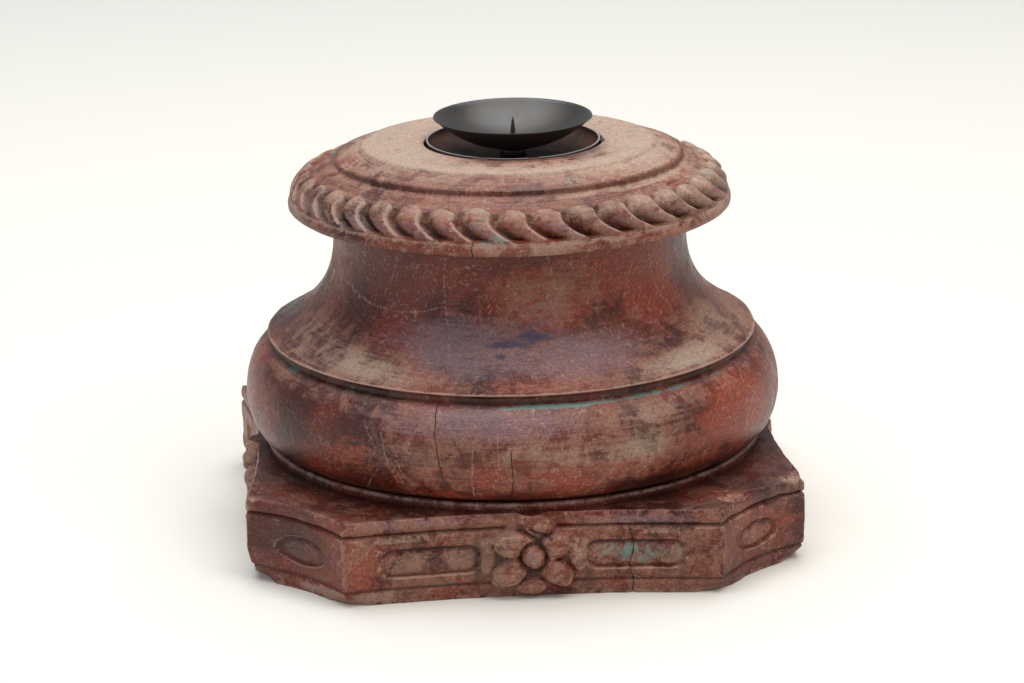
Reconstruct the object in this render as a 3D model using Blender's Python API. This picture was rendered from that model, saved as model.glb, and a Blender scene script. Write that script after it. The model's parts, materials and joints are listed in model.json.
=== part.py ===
# Carved wooden column base with an iron candle dish let into its top.
# The origin is the middle of the underside, +Z is up and -Y is the front. Lengths are in metres.
import math

import bmesh
import bpy
from mathutils import Matrix, Vector

GAP = 0.0003                   # left between pieces that touch

# Plinth, the square foot of the block
PLINTH_WIDTH = 0.340           # across the horns
PLINTH_HEIGHT = 0.053
CORNER_CUT = 0.056             # taken off each corner, along the side
SIDE_HOLLOW = 0.0090           # the middle of a side lies this far behind its ends
CORNER_HOLLOW = 0.0065         # the same for a cut corner
REAR_SPREAD = 0.0045           # the block is wider by this on each side of its back
FOOT_ROUND = 0.0015            # worn edge under the sides
HORN_WEAR = 0.006              # the same under the horns, on top of the foot's
HORN_REACH = 0.018             # how far from a horn's tip its wear runs
WEAR_HEIGHT = 0.004            # most of the wear is below this
BAND_HEIGHT = 0.0094           # plain band along the foot
ROLL_HEIGHT = 0.0094           # half-round along the top edge
ROLL_SWELL = 0.0016
GROOVE_WIDTH = 0.0016
GROOVE_DEPTH = 0.0013

# Carving on the plinth's sides
PANEL_LENGTH = 0.062
PANEL_HEIGHT = 0.018
PANEL_OFFSET = 0.0615          # panel's middle from the side's middle
PANEL_LEVEL = 0.0255           # panel's middle above the ground
PANEL_DEPTH = 0.0019
PANEL_SLOPE = 0.0026           # width of the slope up to the panel's cushion
PANEL_CUSHION = 0.0011         # height of that cushion
OVAL_LENGTH = 0.040
OVAL_HEIGHT = 0.0175
ROSETTE_WIDTH = 0.058
ROSETTE_HEIGHT = 0.045
ROSETTE_RELIEF = 0.0100        # the boss stands this far out of the side
ROSETTE_WORN = 0.0044          # the same for the one on the right, which is worn down
ROSETTE_LEVEL = 0.0265
BOSS_SHARE = 0.30              # boss's radius as a share of the rosette's
PETAL_REACH = 0.24             # petals stand this far beyond the notches, as the same share
LEAF_REACH = 0.30              # leaf over the top roll
ROSETTE_HOLLOW = 0.55          # height at the boss's foot, as a share of the relief
PETAL_EDGE = 0.36              # height of the petals' rims, as the same share
PETAL_SWELL = 0.55             # how far the petals swell above their rims
NOTCH_SWELL = 0.35             # the same in the notches, as a share of the petals'

# Turned body, from the foot up
BODY_SINK = 0.020              # the turned form runs this deep into the plinth
BEAD_RADIUS = 0.1570
BEAD_HEIGHT = 0.0050
BEAD_ROUND = 0.0021
TORUS_RADIUS = 0.1689
TORUS_BULGE = 0.0189           # swell beyond the torus's own core
TORUS_LOWER = 0.0280
TORUS_UPPER = 0.0320
FILLET_RADIUS = 0.1508
FILLET_HEIGHT = 0.0058
FILLET_COVE = 0.0007           # its lower corner
SCOTIA_UNDERCUT = 0.0017       # height of the slope under the scotia's edge
SCOTIA_RADIUS = 0.1540         # its sharp lower edge
SCOTIA_HEIGHT = 0.0743
SCOTIA_SWEEP = 3.4             # higher is a tighter hollow
NECK_RADIUS = 0.1108
NECK_HEIGHT = 0.0062

# Lip carved as a rope, and the stepped top
LIP_RADIUS = 0.1387
LIP_BAND = 0.0048
LIP_LEDGE = 0.0012
LIP_LEDGE_RISE = 0.0025
LOBES = 38
LOBE_DEPTH = 0.0042
LOBE_TWIST = 1                 # whole lobes that a strand moves on from its head to its tail
LOBE_CURVE = 1.7               # higher turns a strand mostly near its tail
LOBE_LEAN = 0.9                # how far a tail's groove is wider than its crest
ROPE_WIDTH = 0.0219
ROPE_RISE = 0.0181
ROPE_FULLNESS = 2.0            # 2 is a plain ellipse
LEDGE_WIDTH = 0.0064
LEDGE_RISE = 0.0022
DISC_FACE = 0.0037
SLOPE_WIDTH = 0.0165
SLOPE_RISE = 0.0052
SLOPE_SWELL = 0.62             # share of that rise reached halfway in
RIM_STEP = 0.0015
DISC_ROUND = 0.0006            # worn edge of the lower disc

# Iron fitting
FITTING_SHIFT = 0.003          # the recess was bored this far right of the axis
SHEET = 0.0012
SAUCER_RADIUS = 0.0544
SAUCER_DEPTH = 0.0112
SAUCER_PROUD = 0.0015          # rim above the wood
SAUCER_CLEARANCE = 0.0012      # round the rim
SAUCER_FLOOR = 0.026           # radius of its flat
STEM_RADIUS = 0.0082
STEM_HEIGHT = 0.0049
DISH_RADIUS = 0.0497
DISH_DEPTH = 0.0203
DISH_FLAT = 0.0100             # radius of the flat that stands on the stem
SPIKE_RADIUS = 0.0018
SPIKE_WAIST = 0.80             # its radius a little over halfway up, as a share
SPIKE_TIP = 0.0003
SPIKE_HEIGHT = 0.0180

# Facets
SIDE_STEPS = 8
CORNER_STEPS = 5
BODY_STEPS = 54
LOBE_STEPS = 4
IRON_STEPS = 28
SPIKE_STEPS = 10
PANEL_STEPS = 14
ROSETTE_STEPS = 20


def clear_scene():
    for item in list(bpy.data.objects):
        bpy.data.objects.remove(item, do_unlink=True)


def make_material(name, colour, roughness, metallic):
    material = bpy.data.materials.new(name)
    material.use_nodes = True
    shader = material.node_tree.nodes["Principled BSDF"]
    shader.inputs["Base Color"].default_value = (*colour, 1.0)
    shader.inputs["Roughness"].default_value = roughness
    shader.inputs["Metallic"].default_value = metallic
    material.diffuse_color = (*colour, 1.0)
    return material


def add_object(name, bm, material=None, cutter=False):
    bmesh.ops.recalc_face_normals(bm, faces=bm.faces)
    mesh = bpy.data.meshes.new(name)
    bm.to_mesh(mesh)
    bm.free()
    mesh.shade_smooth()
    mesh.set_sharp_from_angle(angle=math.radians(32))
    if material:
        mesh.materials.append(material)
    item = bpy.data.objects.new(name, mesh)
    bpy.context.scene.collection.objects.link(item)
    if cutter:
        item.hide_render = True
        item.display_type = "WIRE"
    return item


def add_boolean(item, operand, operation):
    modifier = item.modifiers.new(operand.name, "BOOLEAN")
    modifier.operation = operation
    modifier.solver = "EXACT"
    modifier.object = operand


# Turned work

def spin_profile(bm, points, steps):
    """Turns (radius, height) points once round the Z axis and returns the shell's verts."""
    before = set(bm.verts)
    verts = [bm.verts.new((radius, 0.0, height)) for radius, height in points]
    edges = [bm.edges.new(pair) for pair in zip(verts, verts[1:])]
    bmesh.ops.spin(bm, geom=verts + edges, cent=(0, 0, 0), axis=(0, 0, 1),
                   angle=math.tau, steps=steps, use_merge=True)
    made = [vert for vert in bm.verts if vert not in before]
    poles = [vert for vert in made if vert.co.xy.length < 1e-7]
    if poles:
        bmesh.ops.remove_doubles(bm, verts=poles, dist=1e-6)
    return [vert for vert in made if vert.is_valid]


def ring_edges(verts, radius, height):
    """Edges of the ring that lies at one radius and height."""
    chosen = {vert for vert in verts
              if abs(vert.co.xy.length - radius) < 1e-6 and abs(vert.co.z - height) < 1e-6}
    return list({edge for vert in chosen for edge in vert.link_edges
                 if edge.verts[0] in chosen and edge.verts[1] in chosen})


def ellipse_arc(centre, half_width, half_height, degrees):
    return [(centre[0] + half_width * math.cos(math.radians(turn)),
             centre[1] + half_height * math.sin(math.radians(turn))) for turn in degrees]


def body_heights():
    """Heights of the mouldings, each resting on the one below."""
    level = {"bead": PLINTH_HEIGHT + BEAD_HEIGHT}
    level["torus"] = level["bead"] + TORUS_LOWER
    level["fillet"] = level["torus"] + TORUS_UPPER
    level["scotia"] = level["fillet"] + FILLET_HEIGHT
    level["neck"] = level["scotia"] + SCOTIA_HEIGHT
    level["lip"] = level["neck"] + NECK_HEIGHT
    level["ledge"] = level["lip"] + LIP_BAND
    level["rope"] = level["ledge"] + LIP_LEDGE_RISE
    level["heads"] = level["rope"] + ROPE_RISE
    level["disc"] = level["heads"] + LEDGE_RISE
    level["slope"] = level["disc"] + DISC_FACE
    level["step"] = level["slope"] + SLOPE_RISE
    level["top"] = level["step"] + RIM_STEP
    level["saucer_rim"] = level["top"] + SAUCER_PROUD
    level["saucer_floor"] = level["saucer_rim"] - SAUCER_DEPTH
    level["recess"] = level["saucer_floor"] - SHEET - GAP
    level["stem"] = level["saucer_floor"] + GAP
    level["dish"] = level["stem"] + STEM_HEIGHT + GAP
    level["spike"] = level["dish"] + SHEET + GAP
    return level


def lower_profile(level):
    """From the axis inside the plinth, out and up to the lip's band."""
    core = TORUS_RADIUS - TORUS_BULGE
    foot = PLINTH_HEIGHT - BODY_SINK
    points = [(0.0, foot), (BEAD_RADIUS, foot), (BEAD_RADIUS, level["bead"] - BEAD_ROUND),
              (BEAD_RADIUS - BEAD_ROUND, level["bead"])]
    points += ellipse_arc((core, level["torus"]), TORUS_BULGE, TORUS_LOWER, (-76, -53, -26, 0))
    points += ellipse_arc((core, level["torus"]), TORUS_BULGE, TORUS_UPPER, (26, 50, 70))
    points += [(FILLET_RADIUS, level["fillet"] + FILLET_COVE),
               (FILLET_RADIUS, level["scotia"] - SCOTIA_UNDERCUT),
               (SCOTIA_RADIUS, level["scotia"])]
    for share in (0.06, 0.15, 0.27, 0.42, 0.64, 1.0):
        points.append((NECK_RADIUS + (SCOTIA_RADIUS - NECK_RADIUS) * (1 - share) ** SCOTIA_SWEEP,
                       level["scotia"] + SCOTIA_HEIGHT * share))
    points += [(NECK_RADIUS, level["lip"]), (LIP_RADIUS, level["lip"])]
    return points


def rope_curve(turn):
    """Point on the rope's outer round, from its tail (0 degrees) to its heads (90)."""
    power = 2 / ROPE_FULLNESS
    outer = LIP_RADIUS - LIP_LEDGE
    radius = outer - ROPE_WIDTH * (1 - max(math.cos(math.radians(turn)), 0.0) ** power)
    rise = ROPE_RISE * math.sin(math.radians(turn)) ** power
    return radius, rise


def lobe_hollow(phase, turn):
    """How deep the surface lies between two strands: 1 in the groove, 0 on the crest."""
    lean = 1 + LOBE_LEAN * math.cos(math.radians(turn))
    return 0.5 + 0.5 * math.cos(math.tau * phase ** lean)


def add_rope(bm, level):
    """Lip's band, the ledge above it and the twisted lobes, as one open shell."""
    turns = (0, 17, 43, 69, 90)
    fades = (0.0, 0.85, 1.0, 0.9, 0.0)
    points = [(LIP_RADIUS, level["lip"]), (LIP_RADIUS, level["ledge"])]
    points += [(rope_curve(turn)[0], level["rope"] + rope_curve(turn)[1]) for turn in turns]
    verts = spin_profile(bm, points, LOBES * LOBE_STEPS)
    pitch = math.tau / LOBES
    for turn, fade in zip(turns, fades):
        radius, rise = rope_curve(turn)
        twist = LOBE_TWIST * (1 - rise / ROPE_RISE) ** LOBE_CURVE
        outward = Vector((math.cos(math.radians(turn)) / ROPE_WIDTH,
                          math.sin(math.radians(turn)) / ROPE_RISE)).normalized()
        height = level["rope"] + rise
        for vert in verts:
            if abs(vert.co.z - height) > 1e-7 or abs(vert.co.xy.length - radius) > 1e-6:
                continue
            column = round(math.atan2(vert.co.y, vert.co.x) / pitch * LOBE_STEPS)
            phase = (column % LOBE_STEPS) / LOBE_STEPS
            depth = LOBE_DEPTH * fade * lobe_hollow(phase, turn)
            angle = (column / LOBE_STEPS + twist) * pitch
            reach = radius - outward.x * depth
            vert.co = (reach * math.cos(angle), reach * math.sin(angle), height - outward.y * depth)
    return verts, points[0], points[-1]


def upper_profile(level):
    """From the ledge inside the rope's heads, up the stepped discs and in to the axis."""
    ledge = rope_curve(90)[0]
    disc = ledge - LEDGE_WIDTH
    rim = disc - SLOPE_WIDTH
    return [(ledge, level["heads"]), (disc, level["disc"]), (disc, level["slope"] - DISC_ROUND),
            (disc - DISC_ROUND, level["slope"]),
            (disc - SLOPE_WIDTH / 2, level["slope"] + SLOPE_RISE * SLOPE_SWELL),
            (rim, level["step"]), (rim - RIM_STEP, level["top"]), (0.0, level["top"])]


def turned_body(level, material):
    bm = bmesh.new()
    lower = lower_profile(level)
    lower_verts = spin_profile(bm, lower, BODY_STEPS)
    rope_verts, tail, heads = add_rope(bm, level)
    upper = upper_profile(level)
    upper_verts = spin_profile(bm, upper[1:], BODY_STEPS)
    ends = [ring_edges(lower_verts, *lower[-2]), ring_edges(rope_verts, *tail)]
    remove = [face for face in bm.faces if set(face.verts) <= set(lower_verts)
              and all(abs(vert.co.z - level["lip"]) < 1e-6 for vert in face.verts)]
    bmesh.ops.delete(bm, geom=remove, context="FACES")
    loose = [vert for vert in bm.verts if not vert.link_faces]
    bmesh.ops.delete(bm, geom=loose, context="VERTS")
    bmesh.ops.bridge_loops(bm, edges=[edge for loop in ends for edge in loop if edge.is_valid])
    rope_verts = [vert for vert in bm.verts if vert.is_valid]
    ends = [ring_edges(rope_verts, *heads), ring_edges(rope_verts, *upper[1])]
    bmesh.ops.bridge_loops(bm, edges=[edge for loop in ends for edge in loop])
    return add_object("pedestal", bm, material)


# Plinth

def stack_rings(bm, rings):
    """Closed solid through rings with the same count of points; returns its last face."""
    first = bm.faces.new([bm.verts.new(point) for point in rings[0]])
    face = first
    for ring in rings[1:]:
        grown = bmesh.ops.extrude_face_region(bm, geom=[face])
        if face is not first:
            bmesh.ops.delete(bm, geom=[face], context="FACES_ONLY")
        face = next(item for item in grown["geom"] if isinstance(item, bmesh.types.BMFace))
        for vert, point in zip(face.verts, ring):
            vert.co = point
    return face


def widen_back(bm):
    """The block was sawn wider at its back, and its carving follows."""
    half = PLINTH_WIDTH / 2
    for vert in bm.verts:
        vert.co.x *= 1 + REAR_SPREAD / half * (vert.co.y / half + 1) / 2


def hollow_side(start, end, hollow, steps):
    """Points of an arc from start to end that bows to the left of the way there."""
    chord = end - start
    along = chord.normalized()
    left = Vector((-along.y, along.x))
    radius = (chord.length ** 2 / 4 + hollow ** 2) / (2 * hollow)
    half = math.asin(chord.length / 2 / radius)
    middle = (start + end) / 2
    points = []
    for index in range(steps):
        turn = half * (2 * index / steps - 1)
        points.append(middle + along * radius * math.sin(turn)
                      + left * (hollow - radius * (1 - math.cos(turn))))
    return points


def plinth_outline():
    """The plinth seen from above, anticlockwise from its left front horn."""
    half = PLINTH_WIDTH / 2
    inner = half - CORNER_CUT
    points = []
    for quarter in range(4):
        turn = Matrix.Rotation(math.radians(90 * quarter), 2)
        side = hollow_side(turn @ Vector((-inner, -half)), turn @ Vector((inner, -half)), SIDE_HOLLOW,
                           SIDE_STEPS)
        corner = hollow_side(turn @ Vector((inner, -half)), turn @ Vector((half, -inner)),
                             CORNER_HOLLOW, CORNER_STEPS)
        points += side + corner
    return points


def inset_outline(points, inset):
    """Moves the outline inwards, mitred at its corners."""
    moved = []
    for index, point in enumerate(points):
        before = (point - points[index - 1]).normalized()
        after = (points[(index + 1) % len(points)] - point).normalized()
        left = (Vector((-before.y, before.x)) + Vector((-after.y, after.x))).normalized()
        mitre = left.dot(Vector((-before.y, before.x)))
        moved.append(point + left * inset(point) / mitre)
    return moved


def horn_share(point):
    """1 at a horn's tip, down to 0 at HORN_REACH from it."""
    half = PLINTH_WIDTH / 2
    inner = half - CORNER_CUT
    across, along = sorted((abs(point.x), abs(point.y)))
    return max(0.0, 1.0 - math.hypot(across - inner, along - half) / HORN_REACH)


def plinth_levels():
    """Heights up the side, each with how far the face lies behind the outline there."""
    def worn(share):
        return lambda point: (FOOT_ROUND + HORN_WEAR * horn_share(point)) * share

    def plain(depth):
        return lambda point: depth
    band = BAND_HEIGHT
    roll = PLINTH_HEIGHT - ROLL_HEIGHT
    half = GROOVE_WIDTH / 2
    levels = [(0.0, worn(1.0)), (WEAR_HEIGHT, worn(0.36)), (band - half, worn(0.08)),
              (band, plain(GROOVE_DEPTH)), (band + half, plain(0.0)),
              (roll - half, plain(0.0)), (roll, plain(GROOVE_DEPTH))]
    for turn in (-40, 0, 40, 80):
        levels.append((roll + ROLL_HEIGHT / 2 * (1 + math.sin(math.radians(turn))),
                       plain(ROLL_SWELL * (1 - math.cos(math.radians(turn))))))
    levels.append((PLINTH_HEIGHT, plain(ROLL_SWELL * 1.6)))
    return levels


def plinth_block(material):
    outline = plinth_outline()
    bm = bmesh.new()
    stack_rings(bm, [[point.to_3d() + Vector((0, 0, height)) for point in inset_outline(outline, inset)]
                     for height, inset in plinth_levels()])
    widen_back(bm)
    return add_object("plinth_block", bm, material, cutter=True)


def side_frame(quarter, along, level, depth):
    """Place on a side: X runs along it, Y up, Z outwards, for the side turned by quarter."""
    outward = Matrix(((1, 0, 0, along), (0, 0, -1, -depth), (0, 1, 0, level), (0, 0, 0, 1)))
    return Matrix.Rotation(math.radians(90 * quarter), 4, "Z") @ outward


def add_pocket(bm, place, length, height, rounding):
    """Cutter for a sunk panel with a raised cushion; rounding 1 is an oval, 0 has half-round ends."""
    straight = (length - height) / 2 * (1 - rounding)
    reach = length / 2 - straight

    def ring(shrink, out):
        points = []
        for index in range(PANEL_STEPS):
            turn = math.tau * (index + 0.5) / PANEL_STEPS
            shift = math.copysign(straight, math.cos(turn))
            points.append(place @ Vector((shift + (reach - shrink) * math.cos(turn),
                                          (height / 2 - shrink) * math.sin(turn), out)))
        return points
    stack_rings(bm, [ring(-PANEL_DEPTH, SIDE_HOLLOW + CORNER_HOLLOW), ring(0.0, -PANEL_DEPTH),
                     ring(PANEL_SLOPE, PANEL_CUSHION - PANEL_DEPTH)])


def panel_pockets():
    half = PLINTH_WIDTH / 2
    inner = half - CORNER_CUT
    bm = bmesh.new()
    for quarter in range(4):
        for side in (-1, 1):
            bow = 1 - (PANEL_OFFSET / inner) ** 2
            place = side_frame(quarter, side * PANEL_OFFSET, PANEL_LEVEL, half - SIDE_HOLLOW * bow)
            lean = math.atan2(2 * SIDE_HOLLOW * PANEL_OFFSET, inner ** 2) * side
            add_pocket(bm, place @ Matrix.Rotation(-lean, 4, "Y"), PANEL_LENGTH, PANEL_HEIGHT, 0.0)
        depth = (half + inner) / math.sqrt(2) - CORNER_HOLLOW
        corner = Matrix.Rotation(math.radians(45), 4, "Z") @ side_frame(0, 0.0, PANEL_LEVEL, depth)
        turn = Matrix.Rotation(math.radians(90 * quarter), 4, "Z")
        add_pocket(bm, turn @ corner, OVAL_LENGTH, OVAL_HEIGHT, 1.0)
    widen_back(bm)
    return add_object("panel_pockets", bm, cutter=True)


def rosette_reach(turn):
    """Rosette's outline: four petals on the diagonals and a leaf on top."""
    petal = abs(math.sin(2 * turn))
    leaf = max(0.0, math.sin(turn)) ** 4
    return 1 - PETAL_REACH * (1 - petal) + LEAF_REACH * leaf


def rosette_rise(turn, share):
    """Height of the relief at a share of the way out, as a share of its full relief."""
    if share <= BOSS_SHARE:
        dome = math.sqrt(max(0.0, 1 - (share / BOSS_SHARE) ** 2))
        return ROSETTE_HOLLOW + (1 - ROSETTE_HOLLOW) * dome
    crown = max(abs(math.sin(2 * turn)), max(0.0, math.sin(turn)) ** 4)
    petal = NOTCH_SWELL + (1 - NOTCH_SWELL) * crown
    way = (share - BOSS_SHARE) / (1 - BOSS_SHARE)
    return PETAL_EDGE + PETAL_SWELL * petal * max(0.0, math.sin(math.pi * way)) ** 0.7


def rosettes(material):
    half = PLINTH_WIDTH / 2
    leaf_top = PLINTH_HEIGHT - ROSETTE_LEVEL - GAP
    shares = (1.0, 0.86, 0.6, BOSS_SHARE * 1.1, BOSS_SHARE * 0.9, BOSS_SHARE * 0.5)
    bm = bmesh.new()
    for quarter in range(4):
        place = side_frame(quarter, 0.0, ROSETTE_LEVEL, half - SIDE_HOLLOW)
        relief = ROSETTE_WORN if quarter == 1 else ROSETTE_RELIEF

        def ring(share, rise):
            points = []
            for index in range(ROSETTE_STEPS):
                turn = math.tau * index / ROSETTE_STEPS
                reach = rosette_reach(turn) * share
                points.append(place @ Vector((ROSETTE_WIDTH / 2 * reach * math.cos(turn),
                                              min(ROSETTE_HEIGHT / 2 * reach * math.sin(turn), leaf_top),
                                              rise(turn))))
            return points
        rings = [ring(1.0, lambda turn: -SIDE_HOLLOW)]
        rings += [ring(share, lambda turn: relief * rosette_rise(turn, share)) for share in shares]
        bmesh.ops.poke(bm, faces=[stack_rings(bm, rings)])
    widen_back(bm)
    return add_object("rosette_relief", bm, material, cutter=True)


# Iron fitting

def add_iron(name, bm, material):
    bmesh.ops.translate(bm, verts=bm.verts, vec=(FITTING_SHIFT, 0, 0))
    return add_object(name, bm, material)


def recess_cutter(level):
    depth = level["top"] - level["recess"]
    radius = SAUCER_RADIUS + SAUCER_CLEARANCE
    bm = bmesh.new()
    bmesh.ops.create_cone(bm, cap_ends=True, segments=IRON_STEPS, radius1=radius, radius2=radius,
                          depth=depth * 2, matrix=Matrix.Translation((FITTING_SHIFT, 0, level["top"])))
    return add_object("recess_cutter", bm, cutter=True)


def saucer(level, material):
    """Shallow bowl let into the top, its foot resting on the recess's floor."""
    floor = level["saucer_floor"]
    half_sheet = SHEET / 2
    wall = [(math.sin(math.radians(turn)), 1 - math.cos(math.radians(turn))) for turn in (35, 65, 90)]
    reach = SAUCER_RADIUS - half_sheet - SAUCER_FLOOR
    inside = [(SAUCER_FLOOR + reach * out - half_sheet, floor + SAUCER_DEPTH * up) for out, up in wall]
    outside = [(SAUCER_FLOOR + reach * out + half_sheet, floor + SAUCER_DEPTH * up - SHEET * (up < 1))
               for out, up in wall]
    bm = bmesh.new()
    spin_profile(bm, [(0.0, floor), (SAUCER_FLOOR, floor)] + inside + outside[::-1]
                 + [(SAUCER_FLOOR, floor - SHEET), (0.0, floor - SHEET)], IRON_STEPS)
    return add_iron("sunk_saucer", bm, material)


def stem(level, material):
    bm = bmesh.new()
    bmesh.ops.create_cone(bm, cap_ends=True, segments=IRON_STEPS // 2, radius1=STEM_RADIUS,
                          radius2=STEM_RADIUS, depth=STEM_HEIGHT,
                          matrix=Matrix.Translation((0, 0, level["stem"] + STEM_HEIGHT / 2)))
    return add_iron("stem", bm, material)


def dish_radius(depth, height):
    """Radius of a round cap, DISH_RADIUS wide at the given depth, at a height above its bottom."""
    sphere = (DISH_RADIUS ** 2 + depth ** 2) / (2 * depth)
    return math.sqrt(max(0.0, sphere ** 2 - (sphere - height) ** 2))


def candle_dish(level, material):
    """Spun iron cap, standing on the stem."""
    low = level["dish"]
    shares = (0.08, 0.3, 0.62, 1.0)
    outside = [(dish_radius(DISH_DEPTH, DISH_DEPTH * share), low + DISH_DEPTH * share)
               for share in shares]
    inner_depth = DISH_DEPTH - SHEET
    inside = [(dish_radius(inner_depth, inner_depth * share) * (1 - SHEET / DISH_RADIUS),
               low + SHEET + inner_depth * share) for share in shares[::-1]]
    seat = [(DISH_FLAT, low + SHEET), (0.0, low + SHEET)]
    bm = bmesh.new()
    spin_profile(bm, [(0.0, low), (DISH_FLAT, low)] + outside + inside + seat, IRON_STEPS)
    return add_iron("candle_dish", bm, material)


def spike(level, material):
    low = level["spike"]
    bm = bmesh.new()
    points = [(0.0, low), (SPIKE_RADIUS, low), (SPIKE_RADIUS * SPIKE_WAIST, low + SPIKE_HEIGHT * 0.55),
              (SPIKE_TIP, low + SPIKE_HEIGHT), (0.0, low + SPIKE_HEIGHT)]
    spin_profile(bm, points, SPIKE_STEPS)
    return add_iron("spike", bm, material)


def build():
    clear_scene()
    wood = make_material("worn_red_painted_wood", (0.145, 0.038, 0.024), 0.62, 0.0)
    iron = make_material("blackened_iron", (0.030, 0.028, 0.027), 0.50, 0.85)
    rusty = make_material("browned_iron", (0.085, 0.050, 0.035), 0.65, 0.6)
    level = body_heights()
    pedestal = turned_body(level, wood)
    add_boolean(pedestal, plinth_block(wood), "UNION")
    add_boolean(pedestal, panel_pockets(), "DIFFERENCE")
    add_boolean(pedestal, rosettes(wood), "UNION")
    add_boolean(pedestal, recess_cutter(level), "DIFFERENCE")
    saucer(level, rusty)
    stem(level, iron)
    candle_dish(level, iron)
    spike(level, iron)


build()
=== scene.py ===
from functools import partial
import json
import math
import random

import bmesh
import bpy
from mathutils import Matrix, Vector, noise

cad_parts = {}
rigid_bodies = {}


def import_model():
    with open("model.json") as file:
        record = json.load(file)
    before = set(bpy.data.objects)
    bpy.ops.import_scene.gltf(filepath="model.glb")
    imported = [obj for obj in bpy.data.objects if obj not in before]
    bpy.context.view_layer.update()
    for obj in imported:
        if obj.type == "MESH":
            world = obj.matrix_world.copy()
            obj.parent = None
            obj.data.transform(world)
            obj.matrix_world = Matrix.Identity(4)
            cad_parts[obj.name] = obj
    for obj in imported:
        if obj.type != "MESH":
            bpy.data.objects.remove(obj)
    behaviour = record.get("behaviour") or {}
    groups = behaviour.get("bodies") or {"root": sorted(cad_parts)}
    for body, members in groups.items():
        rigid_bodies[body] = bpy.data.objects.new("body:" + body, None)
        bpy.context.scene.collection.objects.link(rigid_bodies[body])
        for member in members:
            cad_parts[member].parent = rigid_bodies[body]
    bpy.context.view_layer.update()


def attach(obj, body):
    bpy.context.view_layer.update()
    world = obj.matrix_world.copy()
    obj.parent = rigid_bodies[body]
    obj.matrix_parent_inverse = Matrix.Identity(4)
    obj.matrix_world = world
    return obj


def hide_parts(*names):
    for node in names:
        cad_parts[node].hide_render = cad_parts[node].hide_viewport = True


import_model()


# Shared helpers

def smooth(low, high, value):
    share = min(1.0, max(0.0, (value - low) / (high - low)))
    return share * share * (3 - 2 * share)


def blend(first, second, share):
    return first + (second - first) * share


def srgb(code, alpha=1.0):
    channels = [int(code[index:index + 2], 16) / 255 for index in (1, 3, 5)]
    linear = [value / 12.92 if value <= 0.04045 else ((value + 0.055) / 1.055) ** 2.4 for value in channels]
    return (*linear, alpha)


# Fractal noise from about -1 to 1, with features of the given size
def grain(point, size, octaves=3):
    return noise.fractal(point / size, 0.7, 2.1, octaves)


def turnGap(first, second):
    return (first - second + 180) % 360 - 180


spotSharpness = 1.3      # above 1 a patch is flatter in its middle and steeper at its edge


# 1 in the middle of a patch on the turned body, fading to 0 past its reach (degrees, metres)
def spot(angle, height, centre, reach):
    across = turnGap(angle, centre[0]) / reach[0]
    up = (height - centre[1]) / reach[1]
    return math.exp(-(across * across + up * up) ** spotSharpness)


lineFade = {
    "far": 0.02,                          # distance given where no line is near
    "whole": 0.0035, "gone": 0.0075,      # beside a line
    "past": 0.0035,                       # beyond its end
    "skipSide": 0.008, "skipEnd": 0.004,  # further off than this a stretch isn't looked at
}


# Signed distance to the nearest of some drawn lines, and how strongly it shows there
def lineMark(lines, across, up):
    gap, share = lineFade["far"], 0.0
    for line in lines:
        for start, end in zip(line, line[1:]):
            way = (end[0] - start[0], end[1] - start[1])
            long = math.hypot(*way)
            away = (across - start[0], up - start[1])
            along = (away[0] * way[0] + away[1] * way[1]) / long
            side = (away[0] * way[1] - away[1] * way[0]) / long
            beyond = max(0.0, -along, along - long)
            if abs(side) > lineFade["skipSide"] or beyond > lineFade["skipEnd"]:
                continue
            strength = smooth(lineFade["gone"], lineFade["whole"], abs(side)) \
                * smooth(lineFade["past"], 0.0, beyond)
            if strength > share or strength == share and abs(side) < abs(gap):
                gap, share = side, strength
    return gap, share


# Skin of rings, each extruded from the last; place(column, row) gives each vert's position
def growRings(bm, columns, rows, place, closeFirst, closeLast):
    label = bm.verts.layers.int["column"]
    level = bm.verts.layers.int["row"]
    ring = []
    for column in range(columns):
        vert = bm.verts.new(place(column, 0))
        vert[label] = column
        vert[level] = rows[0]
        ring.append(vert)
    edges = [bm.edges.new((ring[column], ring[(column + 1) % columns])) for column in range(columns)]
    if closeFirst:
        bmesh.ops.contextual_create(bm, geom=edges)
    for row in range(1, len(rows)):
        grown = bmesh.ops.extrude_edge_only(bm, edges=edges)["geom"]
        for vert in grown:
            if isinstance(vert, bmesh.types.BMVert):
                vert[level] = rows[row]
                vert.co = place(vert[label], row)
        edges = [edge for edge in grown if isinstance(edge, bmesh.types.BMEdge)]
    if closeLast:
        bmesh.ops.contextual_create(bm, geom=edges)


def finishMesh(name, bm, material, sharpAngle=40):
    bmesh.ops.recalc_face_normals(bm, faces=bm.faces)
    mesh = bpy.data.meshes.new(name)
    bm.to_mesh(mesh)
    bm.free()
    mesh.shade_smooth()
    mesh.set_sharp_from_angle(angle=math.radians(sharpAngle))
    mesh.materials.append(material)
    item = bpy.data.objects.new(name, mesh)
    bpy.context.scene.collection.objects.link(item)
    return item


# One function adds a node, sets it, links it and returns one of its outputs

def addNode(tree, kind, inputs=None, output=0, **settings):
    node = tree.nodes.new(kind)
    for key, value in settings.items():
        setattr(node, key, value)
    for key, value in (inputs or {}).items():
        if isinstance(value, bpy.types.NodeSocket):
            tree.links.new(value, node.inputs[key])
        else:
            node.inputs[key].default_value = value
    return node.outputs[output]


def newMaterial(name):
    material = bpy.data.materials.new(name)
    material.use_nodes = True
    tree = material.node_tree
    return material, tree.nodes["Principled BSDF"], partial(addNode, tree), tree.links.new


# Old paint over carved wood

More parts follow.
